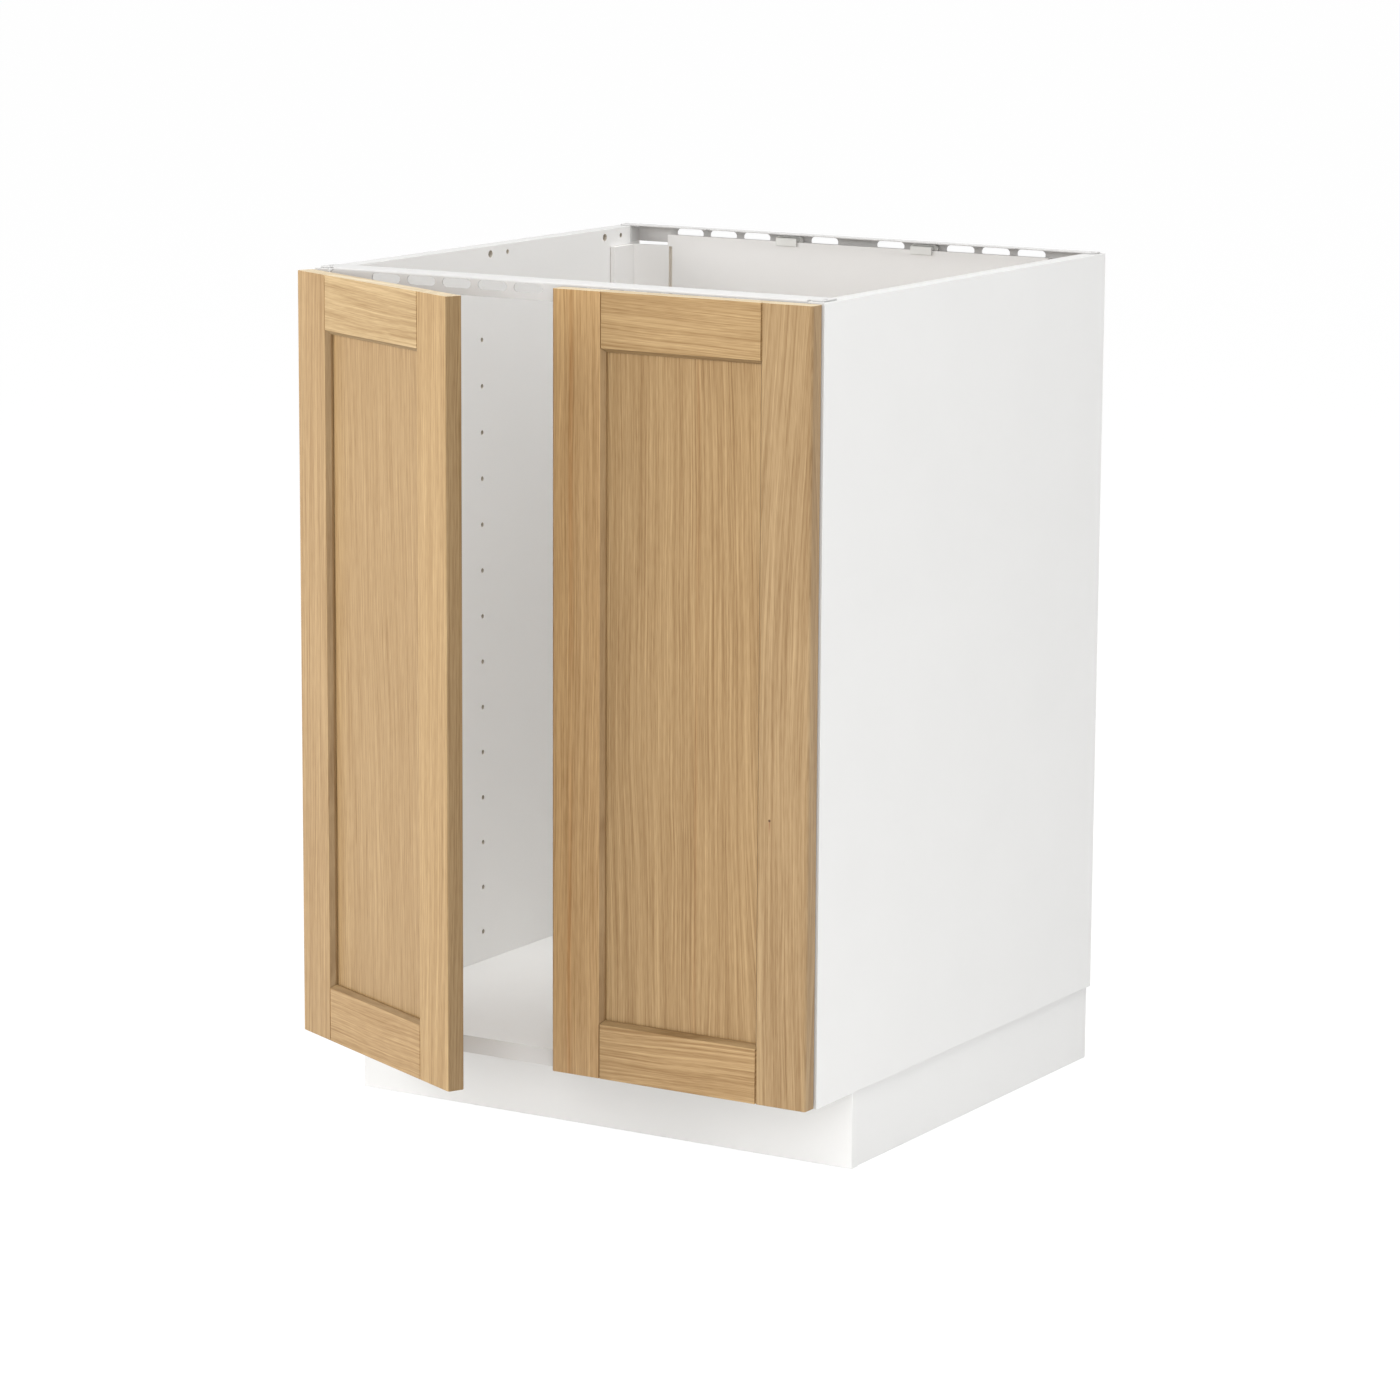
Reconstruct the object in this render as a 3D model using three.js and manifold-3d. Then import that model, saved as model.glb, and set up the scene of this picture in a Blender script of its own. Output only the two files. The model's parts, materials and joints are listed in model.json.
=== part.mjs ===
// Sink base cabinet, 600 mm wide: a white board carcass on levelling legs, with a white plinth,
// two steel top rails in place of a top board, a folded hardboard back and two framed oak doors.
// Millimetres, +Z up, +X to the right as seen from the front, +Y towards the wall.
// The pieces are drawn in the carcass's own frame, with Y = 0 at the front edges of the side panels,
// and the whole group is then moved so that the origin lies on the floor under the plinth board.

import * as THREE from 'three';
import Module from 'manifold-3d';
import { mergeVertices } from 'three/addons/utils/BufferGeometryUtils.js';

const wasm = await Module();
wasm.setup();

// ---- Driving dimensions ----
const WIDTH = 600;
const DEPTH = 600;
const CARCASS_HEIGHT = 800;
const BOARD = 18;
const FIT = 0.3; // gap kept where two pieces meet

const PLINTH_HEIGHT = 80;
const PLINTH_THICKNESS = 13;
const PLINTH_SETBACK = 76;
const PLINTH_TOP_GAP = 0.5;

const DOOR_THICKNESS = 18.5;
const DOOR_GAP = 1.5; // round each door and behind it
const DOOR_MEMBER = 56; // face width of the stiles and rails, up to the moulded edge
const DOOR_MOULDING = { width: 4, depth: 5 }; // slope that runs from the face towards the panel
const DOOR_RECESS = 8;
const DOOR_PANEL_THICKNESS = 6;
const DOOR_PANEL_TONGUE = 11.4;
const DOOR_EDGE_RADIUS = 2.5; // along the door's upright edges
const LEFT_DOOR_AJAR = 25.3; // degrees, as the left door stands at rest

const SYSTEM_FIRST_Z = 130.5; // lowest row of the 5 mm holes inside the side panels
const SYSTEM_PITCH = 50;
const SYSTEM_ROWS = 14;
const HINGE_ROWS = { lower: 1, upper: 13 }; // the rows that the hinge plates are screwed to
const CUP_FROM_DOOR_EDGE = 22.5;

const RAIL_SHEET = 1.2;
const RAIL_HEIGHT = 19;
const RAIL_FLANGE = { front: 30, rear: 18 };
const RAIL_SETBACK = 2.5;
const RAIL_BEND = 2.4;

const BACK_THICKNESS = 5.5;
const BACK_FACE_Y = 588;
const BACK_WING = { front: 538, rear: 579 };
const BACK_TOP = 872;
const BACK_CORNER_TOP = 859.8;
const BACK_FOLD_X = 232;
const BACK_LIP_X = 238;

const LEG_X = 245;
const LEG_FRONT_Y = 130;
const LEG_REAR_Y = 540;

// ---- Worked-out places ----
const OUTER_X = WIDTH / 2;
const INNER_X = OUTER_X - BOARD;
const FLOOR_Z = PLINTH_HEIGHT; // underside of the carcass
const TOP_Z = PLINTH_HEIGHT + CARCASS_HEIGHT;
const BOTTOM_TOP_Z = FLOOR_Z + BOARD;
const DOOR_BACK_Y = -DOOR_GAP;
const DOOR_FRONT_Y = DOOR_BACK_Y - DOOR_THICKNESS;
const DOOR_OUTER_X = OUTER_X - DOOR_GAP;
const DOOR_INNER_X = DOOR_GAP;
const DOOR_LOW_Z = FLOOR_Z + DOOR_GAP;
const DOOR_HIGH_Z = TOP_Z - DOOR_GAP;
const systemRow = (row) => SYSTEM_FIRST_Z + row * SYSTEM_PITCH;
const HINGE_HEIGHTS = { lower: systemRow(HINGE_ROWS.lower), upper: systemRow(HINGE_ROWS.upper) };
const CUP_X = DOOR_OUTER_X - CUP_FROM_DOOR_EDGE;
const SIDES = { left: -1, right: 1 };

// ---- Materials ----
function finish(color, roughness, metalness) {
  return new THREE.MeshStandardMaterial({ color, roughness, metalness });
}
const whiteBoard = finish(0xeceae6, 0.5, 0);
const whiteSteel = finish(0xefeeeb, 0.4, 0.1);
const whitePlastic = finish(0xe9e8e3, 0.45, 0);
const backBoard = finish(0xe8e5e1, 0.55, 0);
const oak = finish(0xc08a4e, 0.5, 0);
const beech = finish(0xcfa878, 0.7, 0);
const zinc = finish(0xb9bcc0, 0.3, 0.9);
const darkPlastic = finish(0x2b2b2d, 0.55, 0);

// ---- Solid helpers ----
function toSolid(geometry) {
  const bare = geometry.clone();
  bare.deleteAttribute('normal');
  bare.deleteAttribute('uv');
  const merged = mergeVertices(bare, 1e-4);
  return new wasm.Manifold(new wasm.Mesh({
    numProp: 3,
    vertProperties: new Float32Array(merged.attributes.position.array),
    triVerts: new Uint32Array(merged.index.array),
  }));
}

function toGeometry(solid) {
  const mesh = solid.getMesh();
  const geometry = new THREE.BufferGeometry();
  geometry.setAttribute('position', new THREE.BufferAttribute(mesh.vertProperties, 3));
  geometry.setIndex(new THREE.BufferAttribute(mesh.triVerts, 1));
  geometry.computeVertexNormals();
  return geometry;
}

function join(solids) {
  return wasm.Manifold.union(solids);
}

// A block between two corners, given in any order.
function block([ax, ay, az], [bx, by, bz]) {
  const geometry = new THREE.BoxGeometry(Math.abs(bx - ax), Math.abs(by - ay), Math.abs(bz - az));
  geometry.translate((ax + bx) / 2, (ay + by) / 2, (az + bz) / 2);
  return toSolid(geometry);
}

// An outline carried along one axis. The outline's two coordinates are X and Y for a prism along Z,
// Y and Z for one along X, and X and Z for one along Y.
const AXIS_TURNS = {
  x: new THREE.Matrix4().set(0, 0, 1, 0, 1, 0, 0, 0, 0, 1, 0, 0, 0, 0, 0, 1),
  y: new THREE.Matrix4().set(1, 0, 0, 0, 0, 0, -1, 0, 0, 1, 0, 0, 0, 0, 0, 1),
  z: new THREE.Matrix4(),
};
function prism(axis, shape, from, to, bevel = null) {
  const low = Math.min(from, to);
  const high = Math.max(from, to);
  const inset = bevel ? bevel.size : 0;
  const geometry = new THREE.ExtrudeGeometry(shape, {
    depth: high - low - 2 * inset,
    steps: 1,
    bevelEnabled: bevel !== null,
    bevelThickness: inset,
    bevelSize: inset,
    bevelOffset: -inset,
    bevelSegments: bevel ? bevel.segments : 0,
  });
  geometry.translate(0, 0, axis === 'y' ? inset - high : low + inset);
  geometry.applyMatrix4(AXIS_TURNS[axis]);
  return toSolid(geometry);
}

function outline(points) {
  return new THREE.Shape(points.map(([u, v]) => new THREE.Vector2(u, v)));
}

function arcPoints(u, v, radius, startAngle, endAngle, steps) {
  return Array.from({ length: steps + 1 }, (_, i) => {
    const angle = startAngle + ((endAngle - startAngle) * i) / steps;
    return [u + radius * Math.cos(angle), v + radius * Math.sin(angle)];
  });
}

function roundedRectangle([lowU, highU], [lowV, highV], radius) {
  const quarter = Math.PI / 2;
  const corners = [
    [highU - radius, highV - radius, 0], [lowU + radius, highV - radius, 1],
    [lowU + radius, lowV + radius, 2], [highU - radius, lowV + radius, 3],
  ];
  return corners.flatMap(([u, v, turn]) => arcPoints(u, v, radius, turn * quarter, (turn + 1) * quarter, 3));
}

function circle(u, v, radius, sides) {
  return outline(arcPoints(u, v, radius, 0, 2 * Math.PI, sides).slice(0, sides));
}

function rod(axis, u, v, radius, from, to, sides = 10) {
  return prism(axis, circle(u, v, radius, sides), from, to);
}

// A strip of constant width with round ends, between two points.
function strip([au, av], [bu, bv], halfWidth, steps = 3) {
  const along = Math.atan2(bv - av, bu - au);
  const quarter = Math.PI / 2;
  return outline([
    ...arcPoints(bu, bv, halfWidth, along - quarter, along + quarter, steps),
    ...arcPoints(au, av, halfWidth, along + quarter, along + 3 * quarter, steps),
  ]);
}

// A turned piece about a vertical line through (x, y); the profile runs up from the axis and back to it.
function turned(x, y, profile, sides) {
  const points = profile.map(([radius, z]) => new THREE.Vector2(radius, z));
  const geometry = new THREE.LatheGeometry(points, sides);
  geometry.rotateX(Math.PI / 2);
  geometry.translate(x, y, 0);
  return toSolid(geometry);
}

// The space of a picture-frame opening whose edge slopes out towards the front.
function slopedOpening(lowX, highX, lowZ, highZ, frontY, { width, depth }) {
  const straight = block([lowX, frontY - 1, lowZ], [highX, 1, highZ]);
  const ring = (y, grow) => [
    [lowX - grow, y, lowZ - grow], [highX + grow, y, lowZ - grow],
    [highX + grow, y, highZ + grow], [lowX - grow, y, highZ + grow],
  ];
  const corners = [...ring(frontY - 1, width * (1 + 1 / depth)), ...ring(frontY + depth, 0)];
  const faces = [
    0, 1, 2, 0, 2, 3, 4, 6, 5, 4, 7, 6,
    0, 5, 1, 0, 4, 5, 1, 6, 2, 1, 5, 6, 2, 7, 3, 2, 6, 7, 3, 4, 0, 3, 7, 4,
  ];
  const geometry = new THREE.BufferGeometry();
  geometry.setAttribute('position', new THREE.BufferAttribute(new Float32Array(corners.flat()), 3));
  geometry.setIndex(faces);
  return straight.add(toSolid(geometry));
}

// ---- Scene graph helpers ----
const cabinet = new THREE.Group();
const carcass = new THREE.Group();
carcass.position.y = -(PLINTH_SETBACK + PLINTH_THICKNESS / 2);
cabinet.add(carcass);

function addPiece(group, name, solid, material) {
  const mesh = new THREE.Mesh(toGeometry(solid), material);
  mesh.name = name;
  group.add(mesh);
}

// A group whose content, drawn in the carcass's frame, is turned about a vertical line through (x, y).
function turnedGroup(parent, [x, y], degrees) {
  const pivot = new THREE.Group();
  pivot.position.set(x, y, 0);
  pivot.rotation.z = THREE.MathUtils.degToRad(degrees);
  const content = new THREE.Group();
  content.position.set(-x, -y, 0);
  pivot.add(content);
  parent.add(pivot);
  return content;
}

// ---- Side panels and bottom panel ----
const SYSTEM_COLUMNS = [37, 280.6, 509.7];
const SYSTEM_HOLE = { radius: 2.5, depth: 11, sides: 8 };
const TOP_ROW_Z = 871;
const TOP_ROW_LARGE = { radius: 4, depth: 13, sides: 10, places: [297.5, 526.6] };
const TOP_ROW_SMALL = { radius: 2.5, depth: 11, sides: 8, places: [330.7, 559.6] };
const RAIL_STUD = { y: 12, radius: 2, length: 12 };
const RAIL_STUD_HOLE = { radius: RAIL_STUD.radius + FIT, depth: 14, sides: 10 };
const TAB_HOLE_X = 291;
const TAB_HOLE_FROM_EDGE = { front: 17.5, rear: 12.5 };
const TAB_PILOT = { radius: 1.6, depth: 20 };
const DOWEL = { radius: 4, length: 30, inSide: 12, places: [60, 540] };
const HINGE_PLATE_HALF = 26;

function drillFromInside(side, y, z, { radius, depth, sides }) {
  return rod('x', y, z, radius, side * (INNER_X - 1), side * (INNER_X + depth), sides);
}

function sidePanel(side) {
  const drills = [];
  const hingeHeights = Object.values(HINGE_HEIGHTS);
  const underHingePlate = (z) => hingeHeights.some((height) => Math.abs(z - height) < HINGE_PLATE_HALF);
  SYSTEM_COLUMNS.forEach((y, column) => {
    for (let row = 0; row < SYSTEM_ROWS; row += 1) {
      const z = systemRow(row);
      if (column > 0 || !underHingePlate(z)) drills.push(drillFromInside(side, y, z, SYSTEM_HOLE));
    }
  });
  for (const y of TOP_ROW_LARGE.places) drills.push(drillFromInside(side, y, TOP_ROW_Z, TOP_ROW_LARGE));
  for (const y of TOP_ROW_SMALL.places) drills.push(drillFromInside(side, y, TOP_ROW_Z, TOP_ROW_SMALL));
  for (const y of [RAIL_STUD.y, DEPTH - RAIL_STUD.y]) {
    drills.push(drillFromInside(side, y, TOP_ROW_Z, RAIL_STUD_HOLE));
  }
  for (const y of [TAB_HOLE_FROM_EDGE.front, DEPTH - TAB_HOLE_FROM_EDGE.rear]) {
    drills.push(rod('z', side * TAB_HOLE_X, y, TAB_PILOT.radius, TOP_Z - TAB_PILOT.depth, TOP_Z + 1, 8));
  }
  for (const y of DOWEL.places) {
    const socket = { radius: DOWEL.radius + FIT, depth: DOWEL.inSide + FIT, sides: 10 };
    drills.push(drillFromInside(side, y, FLOOR_Z + BOARD / 2, socket));
  }
  const board = block([side * INNER_X, 0, FLOOR_Z], [side * OUTER_X, DEPTH, TOP_Z]);
  return board.subtract(join(drills));
}

function bottomPanel() {
  const halfWidth = INNER_X - FIT;
  const board = block([-halfWidth, 0, FLOOR_Z], [halfWidth, DEPTH, BOTTOM_TOP_Z]);
  const depth = DOWEL.length - DOWEL.inSide + FIT;
  const sockets = [];
  for (const side of Object.values(SIDES)) {
    for (const y of DOWEL.places) {
      const z = FLOOR_Z + BOARD / 2;
      const radius = DOWEL.radius + FIT;
      sockets.push(rod('x', y, z, radius, side * (halfWidth + 1), side * (halfWidth - depth)));
    }
  }
  return board.subtract(join(sockets));
}

function dowel(side, y) {
  const outer = INNER_X + DOWEL.inSide;
  return rod('x', y, FLOOR_Z + BOARD / 2, DOWEL.radius, side * outer, side * (outer - DOWEL.length));
}

addPiece(carcass, 'left_side_panel', sidePanel(SIDES.left), whiteBoard);
addPiece(carcass, 'right_side_panel', sidePanel(SIDES.right), whiteBoard);
addPiece(carcass, 'bottom_panel', bottomPanel(), whiteBoard);
for (const [sideName, side] of Object.entries(SIDES)) {
  addPiece(carcass, `${sideName}_front_dowel`, dowel(side, DOWEL.places[0]), beech);
  addPiece(carcass, `${sideName}_rear_dowel`, dowel(side, DOWEL.places[1]), beech);
}

// ---- Folded hardboard back ----
// A shallow tray: the main board stands in front of the rear rail. Beyond a routed fold line on each
// side a corner strip slants forward a little, and a wing turns forward along the side panel.
const FOLD_GROOVE = { width: 4.5, depth: 3 };

function backPanel() {
  const outer = INNER_X - FIT;
  const inner = outer - BACK_THICKNESS;
  const rearY = BACK_FACE_Y + BACK_THICKNESS;
  const foldRear = BACK_FOLD_X + FOLD_GROOVE.width;
  const groove = (side) => [
    [side * (BACK_FOLD_X + FOLD_GROOVE.width), BACK_FACE_Y],
    [side * (BACK_FOLD_X + FOLD_GROOVE.width * 0.8), BACK_FACE_Y + FOLD_GROOVE.depth],
    [side * (BACK_FOLD_X + FOLD_GROOVE.width * 0.2), BACK_FACE_Y + FOLD_GROOVE.depth],
    [side * BACK_FOLD_X, BACK_FACE_Y],
  ];
  const plan = outline([
    [-outer, BACK_WING.front], [-inner, BACK_WING.front], [-inner, BACK_WING.rear],
    ...groove(-1), ...groove(1).reverse(),
    [inner, BACK_WING.rear], [inner, BACK_WING.front], [outer, BACK_WING.front],
    [outer, BACK_WING.rear + BACK_THICKNESS], [foldRear, rearY],
    [-foldRear, rearY], [-outer, BACK_WING.rear + BACK_THICKNESS],
  ]);
  const tray = prism('z', plan, BOTTOM_TOP_Z + FIT, BACK_CORNER_TOP);
  const lip = block([-BACK_LIP_X, BACK_FACE_Y, BACK_CORNER_TOP - 1], [BACK_LIP_X, rearY, BACK_TOP]);
  return tray.add(lip);
}

addPiece(carcass, 'back_panel', backPanel(), backBoard);

// ---- Steel top rails ----
// One folded strip at the front and a narrower one, turned round, at the rear: a slotted web, a top flange
// that the worktop rests on, a lug over each side panel's top edge, and at each end a plate whose pressed
// stud plugs into a hole in the side panel.
const SLOT = { length: 34.5, height: 9.2, z: 874, pitch: 43, firstX: 41.3, perSide: 5 };
const RAIL_TOP = TOP_Z + FIT + RAIL_SHEET;
const RAIL_LUG_END = 297;
const RAIL_END_PLATE = { depth: 18, top: 877.5 };
const RAIL_NICK = { radius: 3, places: [-204, 180.5] };
const RAIL_RELIEF = 4.5;
const TAB_HOLE_RADIUS = 2.75;

function slotCentres() {
  return Array.from({ length: SLOT.perSide }, (_, i) => SLOT.firstX + i * SLOT.pitch);
}

function topRail(flange, tabHoleY) {
  const low = RAIL_TOP - RAIL_HEIGHT;
  const web = RAIL_SETBACK;
  const quarter = Math.PI / 2;
  const bendY = web + RAIL_BEND;
  const bendZ = RAIL_TOP - RAIL_BEND;
  const flangeEnd = web + flange;
  const fold = outline([
    [web, low],
    ...arcPoints(bendY, bendZ, RAIL_BEND, 2 * quarter, quarter, 3),
    [flangeEnd, RAIL_TOP], [flangeEnd, RAIL_TOP - RAIL_SHEET],
    ...arcPoints(bendY, bendZ, RAIL_BEND - RAIL_SHEET, quarter, 2 * quarter, 3),
    [web + RAIL_SHEET, low],
  ]);
  const end = INNER_X - FIT;
  const pieces = [prism('x', fold, -end, end)];
  const cuts = [];
  for (const side of Object.values(SIDES)) {
    pieces.push(block(
      [side * (end - RAIL_SHEET), web + RAIL_SHEET / 2, low],
      [side * end, web + RAIL_END_PLATE.depth, RAIL_END_PLATE.top],
    ));
    const { y: studY, radius: studRadius, length: studLength } = RAIL_STUD;
    pieces.push(rod('x', studY, TOP_ROW_Z, studRadius, side * (end - RAIL_SHEET), side * (end + studLength)));
    const lug = outline([
      [side * (end - 3), bendY], [side * (RAIL_LUG_END - 2), bendY], [side * RAIL_LUG_END, bendY + 2],
      [side * RAIL_LUG_END, flangeEnd - 4], [side * (RAIL_LUG_END - 4), flangeEnd],
      [side * (end - 3), flangeEnd],
    ]);
    pieces.push(prism('z', lug, RAIL_TOP - RAIL_SHEET, RAIL_TOP));
    cuts.push(block(
      [side * (end - 3), web - 1, RAIL_END_PLATE.top + 1],
      [side * (end + 2), web + RAIL_RELIEF, RAIL_TOP + 1],
    ));
    cuts.push(rod('z', side * TAB_HOLE_X, tabHoleY, TAB_HOLE_RADIUS, RAIL_TOP - 3, RAIL_TOP + 1));
    for (const centre of slotCentres()) {
      const x = side * centre;
      const half = (SLOT.length - SLOT.height) / 2;
      const slot = strip([x - half, SLOT.z], [x + half, SLOT.z], SLOT.height / 2, 5);
      cuts.push(prism('y', slot, web - 1, web + RAIL_SHEET + 1));
    }
  }
  for (const x of RAIL_NICK.places) {
    cuts.push(rod('z', x, flangeEnd, RAIL_NICK.radius, RAIL_TOP - 3, RAIL_TOP + 1));
  }
  return join(pieces).subtract(join(cuts));
}

addPiece(carcass, 'front_rail', topRail(RAIL_FLANGE.front, TAB_HOLE_FROM_EDGE.front), whiteSteel);
const rearHalf = turnedGroup(carcass, [0, DEPTH / 2], 180);
addPiece(rearHalf, 'rear_rail', topRail(RAIL_FLANGE.rear, TAB_HOLE_FROM_EDGE.rear), whiteSteel);

// ---- Clips that hold the back panel's top edge to the rear rail ----
// Each is a hook over the back panel's edge with a plug that fills one of the rail's slots.
const CLIP = { width: 26, low: 867.5, high: 876.4, wall: 2 };

function backClip(side) {
  const x = side * (SLOT.firstX + SLOT.pitch);
  const front = BACK_FACE_Y - FIT - CLIP.wall;
  const plugFront = BACK_FACE_Y + BACK_THICKNESS + FIT;
  const bridgeLow = BACK_TOP + FIT;
  const hook = outline([
    [front, CLIP.low], [front + CLIP.wall, CLIP.low], [front + CLIP.wall, bridgeLow],
    [plugFront + 1, bridgeLow], [plugFront + 1, CLIP.high], [front + 1, CLIP.high], [front, CLIP.high - 1],
  ]);
  const halfLength = (SLOT.length - SLOT.height) / 2;
  const plug = strip([x - halfLength, SLOT.z], [x + halfLength, SLOT.z], SLOT.height / 2 - FIT, 5);
  return prism('x', hook, x - CLIP.width / 2, x + CLIP.width / 2).add(prism('y', plug, plugFront, DEPTH - 1));
}

addPiece(carcass, 'back_clip_left', backClip(SIDES.left), whitePlastic);
addPiece(carcass, 'back_clip_right', backClip(SIDES.right), whitePlastic);

// ---- Levelling legs ----
const SOCKET = { plateRadius: 29, plate: 4, tubeRadius: 16, bore: 11.6, low: 30, boreTop: 72 };
const FOOT = { padRadius: 25, pad: 6, neck: 20, neckTop: 20, stem: 11, stemTop: 62 };
const LEG_SIDES = 16;
const LEG_PLACES = { front: LEG_FRONT_Y, rear: LEG_REAR_Y };

function legSocket(x, y) {
  const top = FLOOR_Z - FIT;
  return turned(x, y, [
    [0, SOCKET.boreTop], [SOCKET.bore, SOCKET.boreTop], [SOCKET.bore, SOCKET.low],
    [SOCKET.tubeRadius - 1, SOCKET.low], [SOCKET.tubeRadius, SOCKET.low + 1],
    [SOCKET.tubeRadius, top - SOCKET.plate - 3], [SOCKET.tubeRadius + 3, top - SOCKET.plate],
    [SOCKET.plateRadius, top - SOCKET.plate + 1], [SOCKET.plateRadius, top], [0, top],
  ], LEG_SIDES);
}

function levellingFoot(x, y) {
  return turned(x, y, [
    [0, 0], [FOOT.padRadius - 1, 0], [FOOT.padRadius, 1], [FOOT.padRadius, FOOT.pad - 2],
    [FOOT.neck, FOOT.pad + 2], [FOOT.stem + 3, FOOT.neckTop], [FOOT.stem, FOOT.neckTop],
    [FOOT.stem, FOOT.stemTop - 1], [FOOT.stem - 1, FOOT.stemTop], [0, FOOT.stemTop],
  ], LEG_SIDES);
}

for (const [endName, y] of Object.entries(LEG_PLACES)) {
  for (const [sideName, side] of Object.entries(SIDES)) {
    addPiece(carcass, `leg_socket_${endName}_${sideName}`, legSocket(side * LEG_X, y), darkPlastic);
    addPiece(carcass, `levelling_foot_${endName}_${sideName}`, levellingFoot(side * LEG_X, y), darkPlastic);
  }
}

// ---- Plinth ----
// The front board covers the ends of the two side boards, and clips to the sockets of the front legs.
const PLINTH_FRONT_HALF = 298;
const PLINTH_SIDE_OUTER = 296.7;
const PLINTH_REAR_Y = 597;
const PLINTH_TOP = PLINTH_HEIGHT - PLINTH_TOP_GAP;
const PLINTH_BACK_Y = PLINTH_SETBACK + PLINTH_THICKNESS;
const PLINTH_CLIP = { base: 20, wall: 3, ring: 2.4, low: 38, high: 52, mouth: THREE.MathUtils.degToRad(100) };

function plinthClip(side) {
  const x = side * LEG_X;
  const inner = SOCKET.tubeRadius + FIT;
  const outer = inner + PLINTH_CLIP.ring;
  const start = Math.PI / 2 + PLINTH_CLIP.mouth / 2;
  const end = 2.5 * Math.PI - PLINTH_CLIP.mouth / 2;
  const ring = outline([
    ...arcPoints(x, LEG_FRONT_Y, outer, start, end, 16),
    ...arcPoints(x, LEG_FRONT_Y, inner, end, start, 16),
  ]);
  const baseY = PLINTH_BACK_Y + FIT;
  const base = block([x - PLINTH_CLIP.base, baseY, PLINTH_CLIP.low],
    [x + PLINTH_CLIP.base, baseY + PLINTH_CLIP.wall, PLINTH_CLIP.high]);
  const neck = block([x - PLINTH_CLIP.wall, baseY + 1, PLINTH_CLIP.low],
    [x + PLINTH_CLIP.wall, LEG_FRONT_Y - inner - 1, PLINTH_CLIP.high]);
  return join([prism('z', ring, PLINTH_CLIP.low, PLINTH_CLIP.high), base, neck]);
}

addPiece(carcass, 'plinth_front_board',
  block([-PLINTH_FRONT_HALF, PLINTH_SETBACK, 0], [PLINTH_FRONT_HALF, PLINTH_BACK_Y, PLINTH_TOP]), whiteBoard);
for (const [sideName, side] of Object.entries(SIDES)) {
  addPiece(carcass, `plinth_side_board_${sideName}`, block(
    [side * PLINTH_SIDE_OUTER, PLINTH_BACK_Y + FIT, 0],
    [side * (PLINTH_SIDE_OUTER - PLINTH_THICKNESS), PLINTH_REAR_Y, PLINTH_TOP],
  ), whiteBoard);
  addPiece(carcass, `plinth_clip_${sideName}`, plinthClip(side), darkPlastic);
}

// ---- Doors ----
// Each door is a frame of two full-height stiles and two rails with stub tenons, round a panel that
// sits in a groove. The upright edges are rounded. The inner edges are moulded: a slope runs in from the
// face, mitred at the corners, and a narrow step goes on down to the panel.
const DOOR_GROOVE = { depth: 12, stopped: 8 };
const TENON = { length: 11.4, height: 34, fromOutside: 12 };
const JOINT_SLOT = { width: 0.8, depth: 1.2 }; // shadow line where a rail's end meets a stile
const WIDE_JOINT_SLOT = { width: 1.7, depth: 2.2 };
const CUP = { radius: 17.2, wall: 1, depth: 12, boreDepth: 12.9, plate: 0.8, plateHalf: 28, sides: 22 };
const STILE_FACE = { hinge: DOOR_OUTER_X - DOOR_MEMBER, meeting: DOOR_INNER_X + DOOR_MEMBER };
const STILE_INNER = {
  hinge: STILE_FACE.hinge - DOOR_MOULDING.width,
  meeting: STILE_FACE.meeting + DOOR_MOULDING.width,
};
const OPENING_LOW_Z = DOOR_LOW_Z + DOOR_MEMBER + DOOR_MOULDING.width;
const OPENING_HIGH_Z = DOOR_HIGH_Z - DOOR_MEMBER - DOOR_MOULDING.width;

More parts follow.
